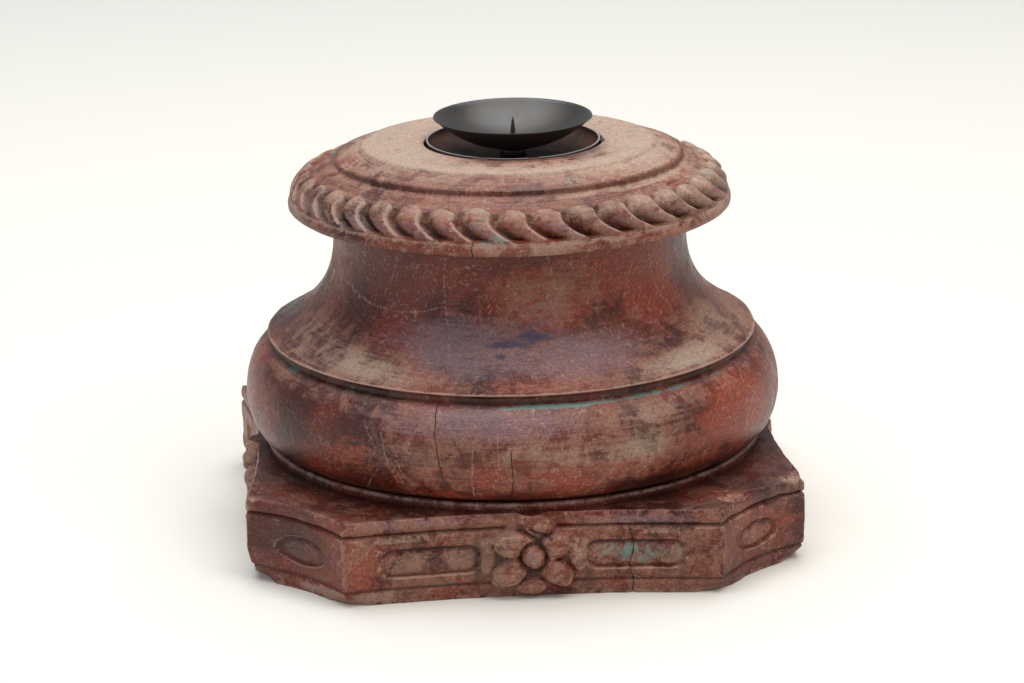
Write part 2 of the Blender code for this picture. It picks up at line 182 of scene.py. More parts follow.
pedestalLook = {
    "unrollRadius": 0.150,         # angles times this give lengths along the body
    "darkPaint": "#3d130a",        # old oxblood paint where it is thick
    "redPaint": "#702a18",         # the same where it is rubbed thin
    "sparkPaint": "#b4553c",       # specks of the orange-red underlayer
    "dust_and_sheen": "#aa9585",             # dust that lies thick, as on the top
    "flakeEdge": "#a98b7c",        # broken edges of the film
    "rawShade": "#6f4e3e",         # between the fibres of torn wood
    "crackDark": "#22100a",        # inside cracks and pits
    "crackWidth": 0.00021, "scratchWidth": 0.00032,
    "wander": 0.0042,              # width of the band in which drawn lines may stray
    "lineStretch": 0.06,           # lathe lines are drawn out by one over this
    "sheetEdge": (0.49, 0.53), "sheetStep": 0.12,      # where a sheet of film ends, and how much it covers
    "gloss": (0.34, 0.70),         # roughness of bare paint and of dust
    "bumpDepth": 0.0007, "bumpStrength": 0.75, "shine": 0.38,
    "patterns": {
        # name: (millimetres across, octaves, roughness, warp, drawn out round the body by the lathe)
        "broad": (50, 4, 0.5, 0.0, False),
        "island": (19, 4, 0.55, 0.3, False),     # sheets of film that flake away together
        "medium": (9, 7, 0.70, 0.7, False),
        "fine": (2.4, 4, 0.74, 0.0, False),
        "speck": (1.0, 2, 0.6, 0.0, False),
        "streak": (2.0, 4, 0.65, 0.0, True),     # tool and brush lines, drawn as coarse as they show
    },
    "layers": [
        # (attribute, colour, most cover, start, full, broken by mottling, broken by lathe lines)
        ("rub", "#8f3b25", 0.72, 0.26, 0.70, 1.75, 0.45),
        # bluish haze of old wax, also laid on as painted sheen and painted highlight
        ("bloom_and_sheen", "#846a70", 0.70, 0.26, 1.02, 1.35, 0.95),
        ("dust_and_sheen", "#8b5f4e", 0.84, 0.20, 0.86, 1.40, 0.85),      # brown-pink film of old wax and dust, also laid on as painted sheen and painted highlight
        ("edge", "#a68a7b", 0.60, 0.40, 0.78, 1.60, 0.20),
        ("verdigris", "#4a8f88", 0.66, 0.34, 0.90, 2.30, 0.80),
        ("ink", "#2f2e4c", 0.80, 0.30, 0.70, 1.40, 0.70),
        ("raw", "#a88f7d", 0.90, 0.35, 0.80, 1.50, 0.30),
        # hollow: painted shade in grooves, creases, recesses and under overhangs, with some dark dirt
        ("hollow", "#200f09", 0.84, 0.20, 0.92, 0.85, 0.20),
    ],
}

# Cracks and scratches as (degrees round the body, height in millimetres) along each
darkCracks = [
    [(-4.3, 93), (-4.0, 76), (-4.4, 57)],
    [(-20.6, 116), (-19.8, 98), (-18.2, 75)],
    [(-46.2, 124), (-43.3, 116), (-34.5, 103.5), (-28.8, 88)],
    [(-12.9, 204), (-13.4, 209), (-13.0, 213)],
    [(-9.8, 43), (-9.7, 55)],
    [(150, 62), (149, 92), (152, 117)],
    [(-132, 70), (-130, 101)],
    [(98, 128), (101, 150), (100, 176)],
]
paleScratches = [
    [(-67.8, 167), (-58, 161.5), (-49.5, 159.8), (-39.3, 159.4), (-31, 162), (-24.2, 166)],
    [(-66.0, 168.5), (-57, 163.0), (-50, 161.4)],
    [(-24.0, 196), (-25.0, 182), (-24.2, 166), (-22.0, 150), (-20.5, 136)],
    [(37.7, 184), (35.0, 172), (33.5, 167)],
    [(-28.8, 88), (-26.5, 74), (-24, 62)],
    [(-33, 76), (-36, 66), (-38, 60)],
    [(56.2, 108), (58.5, 101), (60.5, 93)],
    [(-36, 103), (-33, 90)],
    [(-32, 101), (-30.4, 84), (-28.5, 70)],
    [(-12, 97), (-12.4, 72), (-12, 62)],
    [(20, 92), (16, 76), (12, 64)],
    [(33, 99), (27, 84), (23, 74)],
    [(-44, 178), (-41, 196)],
    [(8, 196), (10, 176)],
    [(-7.0, 102), (-6.8, 84)],
    [(45, 199), (47, 170), (52, 150)],
    [(118, 80), (124, 98), (121, 110)],
    [(-100, 150), (-112, 166), (-128, 170)],
    [(170, 140), (161, 158), (148, 162)],
]


# Linseed-oil paint and wax on hardwood: half glossy where it is rubbed, matt and paler where dusty, with
# painted sheen and highlight laid on in the same pale film
def pedestalMaterial():
    look = pedestalLook
    material, shader, add, link = newMaterial("rubbed_oxblood_paint_on_wood")
    soft = {"interpolation_type": "SMOOTHSTEP"}
    mixed = {"output": 2, "data_type": "RGBA"}
    place = add("ShaderNodeTexCoord", output="Object")
    x, y, z = (add("ShaderNodeSeparateXYZ", {0: place}, axis) for axis in range(3))
    level = add("ShaderNodeCombineXYZ", {0: x, 1: y})
    radius = add("ShaderNodeVectorMath", {0: level}, "Value", operation="LENGTH")
    across = add("ShaderNodeMath", {0: x, 1: look["lineStretch"]}, operation="MULTIPLY")
    outwards = add("ShaderNodeMath", {0: y, 1: look["lineStretch"], 2: radius}, operation="MULTIPLY_ADD")
    turned = add("ShaderNodeCombineXYZ", {0: across, 1: outwards, 2: z})
    pattern = {}
    for name, (size, octaves, roughness, warp, drawn) in look["patterns"].items():
        pattern[name] = add("ShaderNodeTexNoise",
                            {"Vector": turned if drawn else place, "Scale": 1000 / size, "Detail": octaves,
                             "Roughness": roughness, "Distortion": warp})

    # Bare paint, thick and thin, under sheets of film that lie a little paler
    sheet = add("ShaderNodeMapRange", {0: pattern["island"], 1: look["sheetEdge"][0], 2: look["sheetEdge"][1],
                                       3: -look["sheetStep"], 4: look["sheetStep"]}, **soft)
    thin = add("ShaderNodeMapRange", {0: pattern["broad"], 1: 0.34, 2: 0.64}, **soft)
    colour = add("ShaderNodeMix", {0: thin, 6: srgb(look["darkPaint"]), 7: srgb(look["redPaint"])}, **mixed)
    cover = {}
    for name, paint, most, start, full, mottle, lines in look["layers"]:
        amount = add("ShaderNodeAttribute", output="Fac", attribute_name=name)
        broken = add("ShaderNodeMath", {0: pattern["medium"], 1: mottle, 2: amount}, operation="MULTIPLY_ADD")
        broken = add("ShaderNodeMath", {0: pattern["streak"], 1: lines, 2: broken}, operation="MULTIPLY_ADD")
        if name == "dust_and_sheen":
            broken = add("ShaderNodeMath", {0: broken, 1: sheet}, operation="ADD")
        shift = (mottle + lines) / 2
        limit = add("ShaderNodeMapRange", {0: amount, 2: 0.15, 4: most}, **soft)
        start, full = start + shift, full + shift
        cover[name] = add("ShaderNodeMapRange", {0: broken, 1: start, 2: full, 4: limit}, **soft)
        layer = srgb(paint)
        if name == "dust_and_sheen":
            thick = add("ShaderNodeMapRange", {0: amount, 1: 0.45, 2: 0.95}, **soft)
            layer = add("ShaderNodeMix", {0: thick, 6: srgb(paint), 7: srgb(look["dust_and_sheen"])}, **mixed)
        if name == "raw":
            fibre = add("ShaderNodeMapRange", {0: pattern["fine"], 1: 0.35, 2: 0.65}, **soft)
            layer = add("ShaderNodeMix", {0: fibre, 6: srgb(look["rawShade"]), 7: srgb(paint)}, **mixed)
        colour = add("ShaderNodeMix", {0: cover[name], 6: colour, 7: layer}, **mixed)
        if name == "rub":
            sparks = add("ShaderNodeMapRange", {0: pattern["fine"], 1: 0.56, 2: 0.68, 4: cover[name]}, **soft)
            colour = add("ShaderNodeMix", {0: sparks, 6: colour, 7: srgb(look["sparkPaint"])}, **mixed)
        if name == "dust_and_sheen":
            # Broken edges of the sheets of film, as thin wandering lines
            middle = sum(look["sheetEdge"]) / 2
            away = add("ShaderNodeMath", {0: pattern["island"], 1: middle}, operation="SUBTRACT")
            away = add("ShaderNodeMath", {0: away}, operation="ABSOLUTE")
            away = add("ShaderNodeMath", {0: away, 1: 0.060}, operation="PINGPONG")
            rim = add("ShaderNodeMapRange", {0: away, 1: 0.010, 2: 0.002, 4: 0.62}, **soft)
            whole = add("ShaderNodeMapRange", {0: pattern["fine"], 1: 0.42, 2: 0.60, 4: rim}, **soft)
            some = add("ShaderNodeMapRange", {0: pattern["broad"], 1: 0.42, 2: 0.54, 4: whole}, **soft)
            colour = add("ShaderNodeMix", {0: some, 6: colour, 7: srgb(look["flakeEdge"])}, **mixed)
            both = add("ShaderNodeMath", {0: pattern["fine"], 1: pattern["speck"]}, operation="ADD")
            bright = add("ShaderNodeMapRange", {0: both, 1: 0.75, 2: 1.25, 3: 0.78, 4: 1.24}, **soft)
            colour = add("ShaderNodeHueSaturation", {"Value": bright, "Color": colour})
            flecks = add("ShaderNodeMapRange", {0: pattern["speck"], 1: 0.62, 2: 0.70, 4: 0.42}, **soft)
            colour = add("ShaderNodeMix", {0: flecks, 6: colour, 7: srgb(look["flakeEdge"])}, **mixed)
            pits = add("ShaderNodeMapRange", {0: pattern["speck"], 1: 0.38, 2: 0.30, 4: 0.42}, **soft)
            colour = add("ShaderNodeMix", {0: pits, 6: colour, 7: srgb(look["crackDark"])}, **mixed)

    # Drawn lines wander by a fraction of a millimetre
    wander = add("ShaderNodeMath", {0: pattern["medium"], 1: look["wander"], 2: -look["wander"] / 2},
                 operation="MULTIPLY_ADD")
    gap = add("ShaderNodeAttribute", output="Fac", attribute_name="scratchGap")
    gap = add("ShaderNodeMath", {0: gap, 1: wander}, operation="ADD")
    gap = add("ShaderNodeMath", {0: gap}, operation="ABSOLUTE")
    share = add("ShaderNodeAttribute", output="Fac", attribute_name="scratchShare")
    whole = add("ShaderNodeMapRange", {0: pattern["fine"], 1: 0.38, 2: 0.58, 4: 0.62}, **soft)
    share = add("ShaderNodeMath", {0: share, 1: whole}, operation="MULTIPLY")
    scratch = add("ShaderNodeMapRange", {0: gap, 1: look["scratchWidth"] * 1.6, 2: look["scratchWidth"] * 0.4,
                                         4: share}, **soft)
    colour = add("ShaderNodeMix", {0: scratch, 6: colour, 7: srgb(look["flakeEdge"])}, **mixed)
    gap = add("ShaderNodeAttribute", output="Fac", attribute_name="crackGap")
    gap = add("ShaderNodeMath", {0: wander, 1: 0.6, 2: gap}, operation="MULTIPLY_ADD")
    gap = add("ShaderNodeMath", {0: gap}, operation="ABSOLUTE")
    width = add("ShaderNodeMapRange", {0: pattern["broad"], 1: 0.36, 2: 0.64, 3: look["crackWidth"] * 0.45,
                                       4: look["crackWidth"] * 1.5}, **soft)
    gap = add("ShaderNodeMath", {0: gap, 1: width}, operation="DIVIDE")
    share = add("ShaderNodeAttribute", output="Fac", attribute_name="crackShare")
    crack = add("ShaderNodeMapRange", {0: gap, 1: 1.6, 2: 0.6, 4: share}, **soft)
    colour = add("ShaderNodeMix", {0: crack, 6: colour, 7: srgb(look["crackDark"])}, **mixed)

    mattCover = add("ShaderNodeMath", {0: cover["dust_and_sheen"], 1: cover["raw"]}, operation="ADD")
    gloss = add("ShaderNodeMapRange", {0: mattCover, 3: look["gloss"][0], 4: look["gloss"][1]}, **soft)
    uneven = add("ShaderNodeMapRange", {0: pattern["medium"], 3: -0.20, 4: 0.20})
    gloss = add("ShaderNodeMath", {0: gloss, 1: uneven}, operation="ADD")
    # Fine relief in shares of the bump depth: cracks sunk, grain and film raised
    relief = add("ShaderNodeMath", {0: crack, 1: -1.3}, operation="MULTIPLY")
    for height, share in ((pattern["medium"], 1.0), (pattern["streak"], 0.45), (pattern["fine"], 0.75),
                          (pattern["speck"], 0.22), (sheet, 1.2)):
        relief = add("ShaderNodeMath", {0: height, 1: share, 2: relief}, operation="MULTIPLY_ADD")
    link(colour, shader.inputs["Base Color"])
    link(gloss, shader.inputs["Roughness"])
    link(add("ShaderNodeBump", {"Height": relief, "Distance": look["bumpDepth"],
                                 "Strength": look["bumpStrength"]}), shader.inputs["Normal"])
    shader.inputs["Specular IOR Level"].default_value = look["shine"]
    return material


# Form of the pedestal: the same sizes as its solid

form = {
    "plinthWidth": 0.340, "plinthHeight": 0.053, "cornerCut": 0.056, "sideHollow": 0.0090,
    "cornerHollow": 0.0065, "rearSpread": 0.0045, "footRound": 0.0015,
    "hornWear": 0.006, "hornReach": 0.018, "leftHornWear": 0.0050, "hornSlide": 0.64,
    "underRing": 0.100, "topRing": 0.152,                  # radii where the plinth's flat faces end
    "bandHeight": 0.0094, "rollHeight": 0.0094, "rollSwell": 0.0016,
    "grooveDepth": 0.0015, "grooveWidth": 0.0018,
    "panelLength": 0.062, "panelHeight": 0.018, "panelOffset": 0.0615, "panelLevel": 0.0255,
    "panelDepth": 0.0024, "panelSlope": 0.0036, "panelCushion": 0.0014,
    "ovalLength": 0.040, "ovalHeight": 0.0175,
    "rosetteLevel": 0.0265, "rosetteRelief": 0.0098, "rosetteWorn": 0.0042,
    "torusRadius": 0.1689, "torusBulge": 0.0189, "torusLower": 0.0280, "torusUpper": 0.0320,
    "torus": 0.0860,
    "scotiaRadius": 0.1540, "scotiaHeight": 0.0743, "scotiaSweep": 3.4, "scotia": 0.1238,
    "neckRadius": 0.1108, "lipRadius": 0.1387, "lipLedge": 0.0012, "lip": 0.2043,
    "ropeWidth": 0.0219, "ropeRise": 0.0181, "rope": 0.2116, "heads": 0.2297,
    "lobes": 38, "lobeDepth": 0.0044,
    "slopeRadius": 0.1083, "slopeWidth": 0.0159, "slope": 0.2356, "step": 0.2408, "top": 0.2423,
    "fittingShift": 0.003,                                 # the iron sits this far right of the middle
    "tiltRight": 0.004, "tiltFront": 0.021,                # the worn top leans by these slopes
    "bodyColumns": 13 * 38, "torusRows": 16, "scotiaRows": 27, "ropeRows": 24,
    "sideColumns": 78, "frontColumns": 118, "cornerColumns": 34,
}

# Small mouldings: (radius, height, share of the way through) of their points, lengths in millimetres
mouldings = {
    "bead": [(154.5, 47.5, 0), (156.8, 51.5, 0), (157, 54.5, 0.2), (157, 56, 0.5), (156.3, 57.3, 0.8),
             (154.9, 57.9, 1)],
    "fillet": [(152, 118.1, 0), (150.9, 118.8, 0.2), (150.7, 120.2, 0.4), (150.9, 121.8, 0.6),
               (152.4, 122.8, 0.8), (153.7, 123.4, 1)],
    "neck": [(110.8, 198.1, 0), (110.9, 201, 0.4), (111.3, 203, 0.8)],
    "under": [(113, 204.1, 0), (118, 204.3, 0.2), (126, 204.3, 0.5), (134, 204.3, 0.8)],
    "band": [(137.4, 204.6, 0), (138.5, 205.4, 0.2), (138.7, 207, 0.5), (138.6, 208.4, 0.8),
             (138.1, 209.4, 1)],
    "rim": [(137.6, 210.5, 0)],
    "ledge": [(113.6, 230.2, 0.3), (111.3, 231, 0.6), (109.8, 231.7, 0.9)],
    "disc": [(109.2, 232.4, 0), (109.1, 233.6, 0.4), (109, 234.8, 0.8), (108.3, 235.6, 1)],
    "step": [(92, 241.6, 0.5), (90.9, 242.2, 1)],
    "top": [(88, 242.3, 0.10), (83, 242.3, 0.24), (77, 242.3, 0.40), (71, 242.3, 0.57), (65.5, 242.3, 0.72),
            (60, 242.3, 0.88), (56.3, 242.3, 1)],
    "recess": [(55.6, 241.7, 0), (55.6, 236, 0.5), (55.6, 231.1, 1), (30, 231.1, 1)],
}


def mouldingRows(*parts):
    return [(radius / 1000, height / 1000, part, share)
            for part in parts for radius, height, share in mouldings[part]]


# Rows of the turned body as (radius, height, part, share), from inside the plinth to the axis
def bodyProfile():
    core = form["torusRadius"] - form["torusBulge"]
    rows = mouldingRows("bead")
    for low, high, reach, before in ((-78, 0, form["torusLower"], 0.0), (0, 74, form["torusUpper"], 0.5)):
        for step in range(form["torusRows"] + (before > 0)):
            share = step / form["torusRows"]
            turn = math.radians(blend(low, high, share))
            rows.append((core + form["torusBulge"] * math.cos(turn), form["torus"] + reach * math.sin(turn),
                         "torus", before + share / 2))
    rows += mouldingRows("fillet")
    for step in range(form["scotiaRows"]):
        share = (step / form["scotiaRows"]) ** 1.35      # closer rows where it flares out
        sweep = (1 - share) ** form["scotiaSweep"]
        rows.append((blend(form["neckRadius"], form["scotiaRadius"], sweep),
                     form["scotia"] + form["scotiaHeight"] * share, "scotia", share))
    rows += mouldingRows("neck", "under", "band", "rim")
    for step in range(form["ropeRows"] + 1):
        share = step / form["ropeRows"]
        turn = math.radians(90 * share)
        rows.append((form["lipRadius"] - form["lipLedge"] - form["ropeWidth"] * (1 - math.cos(turn)),
                     form["rope"] + form["ropeRise"] * math.sin(turn), "rope", share))
    rows += mouldingRows("ledge", "disc")
    for step in range(1, 8):
        share = step / 7
        rows.append((form["slopeRadius"] - form["slopeWidth"] * share,
                     blend(form["slope"], form["step"], share ** 0.85), "slope", share))
    return rows + mouldingRows("step", "top", "recess")


# The carver's strands, no two alike; "spare" only keeps the draws after it as they were
random.seed(41)
lobeShapes = [{"wide": random.uniform(-0.05, 0.05), "deep": random.uniform(0.82, 1.12),
               "head": random.uniform(-0.03, 0.03), "spare": random.uniform(-0.03, 0.03),
               "crest": random.uniform(0.0, 1.0)} for lobe in range(form["lobes"])]

ropeForm = {
    # How far a strand leans, in strands: at the front, more or less of it to the sides, and in its head
    "lean": 0.88, "leanTurn": 0.22, "headLean": 0.16,
    "hollowLow": 0.34, "hollowHigh": 0.10,      # hollow's share of a strand at the foot and near the head
    "head": 0.93, "headRound": 0.60,            # share of the rise where heads end, and how round they are
    "dome": 0.0016, "gap": 0.0021,              # metres
}


# Depth of the rope's surface below its outer round, and its hollow, crest, inside share and lobe
def ropeRelief(angle, share):
    rise = math.sin(math.radians(90 * share))
    lean = ropeForm["lean"] - ropeForm["leanTurn"] * math.sin(math.radians(angle))
    lean = lean * (1 - rise) ** 2.0 + ropeForm["headLean"] * smooth(0.5, 1.0, rise)
    turns = angle / 360 * form["lobes"] - lean
    lobe = math.floor(turns)
    phase = turns - lobe
    shape = lobeShapes[lobe % form["lobes"]]
    hollowWidth = blend(ropeForm["hollowLow"], ropeForm["hollowHigh"], smooth(0.20, 0.85, rise))
    hollowWidth += shape["wide"]
    left = 1 - smooth(hollowWidth * 0.25, hollowWidth + 0.20, phase)
    right = smooth(0.88, 1.0, phase)
    between = smooth(0.20, 0.04, min(phase, 1 - phase))
    headLine = ropeForm["head"] + shape["head"] - ropeForm["headRound"] * abs(phase - 0.46) ** 2.2
    inside = smooth(headLine + 0.045, headLine - 0.02, rise)
    fade = smooth(0.015, 0.12, rise)
    body = form["lobeDepth"] * shape["deep"] * max(left, right) * blend(1.0, 0.80, smooth(0.5, 1.0, rise))
    across = min(1.0, max(0.0, (phase - hollowWidth) / (1 - hollowWidth)))
    dome = ropeForm["dome"] * (1 - math.sin(math.pi * across) ** 0.8)
    gap = ropeForm["gap"] * (1 - inside) * smooth(1.0, 0.985, rise)
    depth = fade * (body + dome) * inside + gap
    hollow = fade * inside * max(left * smooth(0.0, 0.3, hollowWidth), 0.8 * between)
    hollow += 0.70 * (gap > 0.0008)
    crest = fade * inside * smooth(0.72, 0.84, phase) * smooth(0.98, 0.90, phase)
    return depth, min(1.0, hollow), crest, inside * fade, shape


# Patches seen on the front: (angle, height, reach in degrees, reach in metres, strength)
bodySpots = {
    "bloom_and_sheen": [      # bluish haze of old wax, and painted sheen along the torus's top
        (-14, 0.145, 30, 0.018, 1.0), (14, 0.139, 24, 0.014, 1.0), (0, 0.131, 30, 0.006, 0.5),
        (-10, 0.108, 30, 0.011, 1.0), (28, 0.108, 18, 0.009, 0.6), (36, 0.15, 14, 0.02, 0.4),
        (4, 0.163, 15, 0.014, 0.62),
    ],
    "dust_and_sheen": [      # film, less of it where the strength is below 0; the spots across the middle right of the upper scotia are a painted highlight
        (-66, 0.136, 26, 0.018, 0.52), (-38, 0.132, 16, 0.007, 0.55), (60, 0.136, 24, 0.016, 0.5),
        (38, 0.129, 16, 0.005, 0.5), (8, 0.17, 20, 0.016, 0.3), (30, 0.162, 10, 0.018, 0.2),
        (-88, 0.1, 10, 0.02, 0.34), (84, 0.092, 16, 0.03, 0.42), (-28, 0.092, 10, 0.017, 0.44),
        (0, 0.082, 30, 0.014, 0.24), (-52, 0.112, 28, 0.006, 0.42), (30, 0.11, 22, 0.008, 0.42),
        (12, 0.092, 18, 0.014, 0.34), (-8, 0.098, 12, 0.01, 0.25), (-74, 0.18, 14, 0.026, 0.45),
        (66, 0.176, 14, 0.03, 0.3), (26, 0.09, 7, 0.016, 0.36), (2, 0.166, 24, 0.014, 0.16),
        (14, 0.182, 16, 0.012, 0.26), (-8, 0.158, 14, 0.008, 0.2), (-30, 0.1685, 12, 0.004, 0.45),
        (46, 0.231, 30, 0.004, 0.25), (38, 0.178, 26, 0.034, -0.3), (50, 0.088, 22, 0.026, -0.15),
        (0, 0.126, 60, 0.004, 0.28), (-44, 0.178, 34, 0.034, -0.6), (-58, 0.094, 22, 0.024, -0.62),
    ],
    "rub": [      # rubbed through to orange-red
        (52, 0.094, 15, 0.022, 1.0), (20, 0.08, 14, 0.009, 0.7), (-11, 0.079, 9, 0.008, 0.6),
        (-40, 0.085, 8, 0.012, 0.62), (-20, 0.064, 14, 0.006, 0.6), (36, 0.085, 12, 0.012, 0.6),
        (30, 0.182, 24, 0.026, 0.75), (-22, 0.166, 18, 0.014, 0.34), (2, 0.128, 18, 0.005, 0.6),
        (-44, 0.152, 14, 0.012, 0.4), (22, 0.134, 20, 0.008, 0.4), (44, 0.176, 16, 0.034, 1.1),
        (-20, 0.178, 12, 0.01, 0.4), (8, 0.172, 20, 0.022, 0.95), (12, 0.076, 70, 0.013, 0.55),
    ],
    "hollow": [      # dark stain, and painted shade below the lip at the top of the neck
        (-30, 0.192, 22, 0.012, 0.3), (28, 0.066, 16, 0.005, 0.62), (40, 0.104, 7, 0.006, 0.46),
        (-44, 0.064, 16, 0.005, 0.45), (-14, 0.101, 4, 0.008, 0.25), (-48, 0.184, 28, 0.026, 0.54),
        (-20, 0.195, 20, 0.012, 0.3), (-40, 0.163, 18, 0.01, 0.22), (-58, 0.094, 8, 0.014, 0.34),
    ],
    "ink": [      # blue-black smear
        (-5, 0.147, 7, 0.0022, 1.1), (3, 0.15, 8, 0.0022, 1.0), (0, 0.156, 14, 0.004, 0.45),
        (-7, 0.1405, 2, 0.0012, 0.9), (-22, 0.1345, 4, 0.002, 0.5),
    ],
    "verdigris": [      # turquoise paint
        (6, 0.1168, 14, 0.001, 1.3), (34, 0.1171, 22, 0.0009, 0.9), (-66, 0.118, 9, 0.0018, 0.6),
        (-40, 0.1185, 14, 0.0022, 0.45), (10, 0.1205, 14, 0.0014, 0.45), (-30, 0.2385, 4, 0.002, 0.5),
        (19, 0.2375, 5, 0.002, 0.55), (37, 0.238, 5, 0.002, 0.35), (24, 0.2275, 8, 0.003, 0.4),
    ],
    "raw": [      # torn wood
        (-75, 0.2365, 5.5, 0.003, 0.8),
    ],
    "edge": [      # pale worn edge
        (22, 0.2305, 5, 0.002, 0.5),
    ],
}

# The same kinds of patch on the sides and back, scattered
random.seed(97)
for patch in range(34):
    kind = random.choice(("bloom_and_sheen", "dust_and_sheen", "rub", "rub", "dust_and_sheen", "hollow"))
    bodySpots[kind].append((random.uniform(95, 265), random.uniform(0.060, 0.200), random.uniform(8, 26),
                            random.uniform(0.006, 0.020), random.uniform(0.35, 0.8)))

# Dust-and-sheen, edge and hollow marks of each moulding all the way round; the hollow marks under the lip, on
# the disc's face and in the recess are painted shade
partMarks = {
    "bead": (0.30, 0.1, 0.12), "torus": (0.20, 0.0, 0.0), "fillet": (0.30, 0.1, 0.14),
    "scotia": (0.20, 0.0, 0.0), "neck": (0.12, 0.0, 0.45), "under": (0.0, 0.0, 0.75),
    "band": (0.66, 0.40, 0.0), "rim": (0.72, 0.6, 0.0), "rope": (0.24, 0.0, 0.0), "ledge": (0.58, 0.2, 0.0),
    "disc": (0.46, 0.2, 0.40), "slope": (0.62, 0.1, 0.0), "step": (0.85, 0.4, 0.0), "top": (1.0, 0.0, 0.0),
    "recess": (0.0, 0.0, 0.9),
}
# How much of the adze's unevenness each moulding has
partUneven = {"torus": 1, "scotia": 1, "neck": 1, "slope": 0.5, "top": 0.5, "rope": 0.5, "ledge": 0.6,
              "band": 0.7, "rim": 0.7, "disc": 0.6, "bead": 0.35, "fillet": 0.35, "under": 0.35, "step": 0.35,
              "recess": 0.0}
patchEdge = 2.2               # reaches beyond which a patch has faded out
tornEdge = (-75, 0.2365)      # angle and height of the splintered place on the step round the top
markNames = ("dust_and_sheen", "edge", "hollow", "bloom_and_sheen", "rub", "verdigris", "ink", "raw",
             "crackGap", "crackShare", "scratchGap", "scratchShare")


# Lines on the turned body, from degrees and millimetres to metres along it
def unrollLines(lines):
    return [[(math.radians(angle) * pedestalLook["unrollRadius"], height / 1000) for angle, height in line]
            for line in lines]


crackLines = unrollLines(darkCracks)
scratchLines = unrollLines(paleScratches)


# What lies on a point of the turned body, as the strength of each mark
def bodyMarks(row, angle, relief):
    radius, height, part, share = row
    marks = dict.fromkeys(markNames, 0.0)
    marks["dust_and_sheen"], marks["edge"], marks["hollow"] = partMarks[part]
    for kind, patches in bodySpots.items():
        for turn, centre, reach, tall, strength in patches:
            if abs(height - centre) >= tall * patchEdge or abs(turnGap(angle, turn)) >= reach * patchEdge:
                continue
            value = strength * spot(angle, height, (turn, centre), (reach, tall))
            marks[kind] = min(1.0, marks[kind] + value * 0.9) if kind == "dust_and_sheen" else max(marks[kind], value)
    # Painted shade in the creases where the torus meets the bead and the fillet, low on the torus, and at the
    # scotia's top under the lip; the paler band along the torus's top is partly painted sheen
    if part == "torus":
        marks["hollow"] = max(marks["hollow"], 1 - smooth(0.0, 0.13, share), smooth(0.985, 1.0, share) * 0.5)
        marks["dust_and_sheen"] = max(marks["dust_and_sheen"], 0.42 * smooth(0.72, 0.97, share))
    if part == "bead":
        marks["hollow"] = max(marks["hollow"], 0.9 * smooth(0.85, 1.0, share))
        marks["edge"] = max(marks["edge"], 0.6 * smooth(0.2, 0.5, share) * smooth(0.95, 0.8, share))
    if part == "fillet":
        marks["edge"] = max(marks["edge"], 0.9 * smooth(0.85, 1.0, share))
        marks["hollow"] = max(marks["hollow"], 0.5 * smooth(0.9, 0.6, share))
    if part == "scotia":
        marks["edge"] = max(marks["edge"], 1 - smooth(0.0, 0.02, share))
        marks["dust_and_sheen"] = max(marks["dust_and_sheen"], 0.30 * (1 - smooth(0.08, 0.24, share)))
        marks["hollow"] = max(marks["hollow"], 0.35 * smooth(0.80, 1.0, share))
        marks["rub"] = max(marks["rub"], 0.30 * smooth(0.45, 0.7, share))
    if part == "rope":
        hollow, crest, inside, shape = relief[1:]
        rise = math.sin(math.radians(90 * share))
        # Painted shade in the hollows between the strands
        marks["hollow"] = hollow * 0.74 * smooth(1.0, 0.9, rise)
        marks["dust_and_sheen"] = 0.50 + 0.18 * smooth(0.50, 0.85, rise) * inside + 0.14 * smooth(20, 50, angle)
        marks["edge"] = crest * 0.80 + 0.7 * (1 - smooth(0.0, 0.06, rise))
        marks["bloom_and_sheen"] = (1 - hollow) * smooth(0.78, 0.45, rise) * smooth(0.02, 0.15, rise) \
            * (0.5 + 0.4 * shape["crest"])
        marks["rub"] = 0.55 * hollow * shape["crest"]
        marks["verdigris"] = 0.40 * (shape["crest"] > 0.75)
    if part == "slope":
        marks["dust_and_sheen"] = 0.60 + 0.16 * share - 0.10 * spot(angle, height, (0, 0.238), (40, 0.01)) \
            + 0.16 * spot(angle, height, (48, 0.238), (34, 0.012))
        marks["bloom_and_sheen"] = max(marks["bloom_and_sheen"], 0.35 * spot(angle, height, (-2, 0.238), (38, 0.010)))
    if part in ("torus", "fillet", "scotia", "neck", "rope", "band", "ledge"):
        across = math.radians(angle) * pedestalLook["unrollRadius"]
        marks["crackGap"], marks["crackShare"] = lineMark(crackLines, across, height)
        marks["scratchGap"], marks["scratchShare"] = lineMark(scratchLines, across, height)
    if part == "top":
        # Scorched and sooted round the iron, most of all in front of it
        ring = math.hypot(radius * math.sin(math.radians(angle)) - form["fittingShift"],
                          radius * math.cos(math.radians(angle)))
        scorch = smooth(0.090, 0.060, ring) * smooth(80, 25, abs(turnGap(angle, 6)))
        soot = smooth(0.066, 0.057, ring) * (0.30 + 0.70 * smooth(100, 40, abs(turnGap(angle, 15))))
        marks["dust_and_sheen"] = 0.96 - 0.34 * scorch
        marks["hollow"] = 0.30 * scorch + 0.40 * soot
    return marks


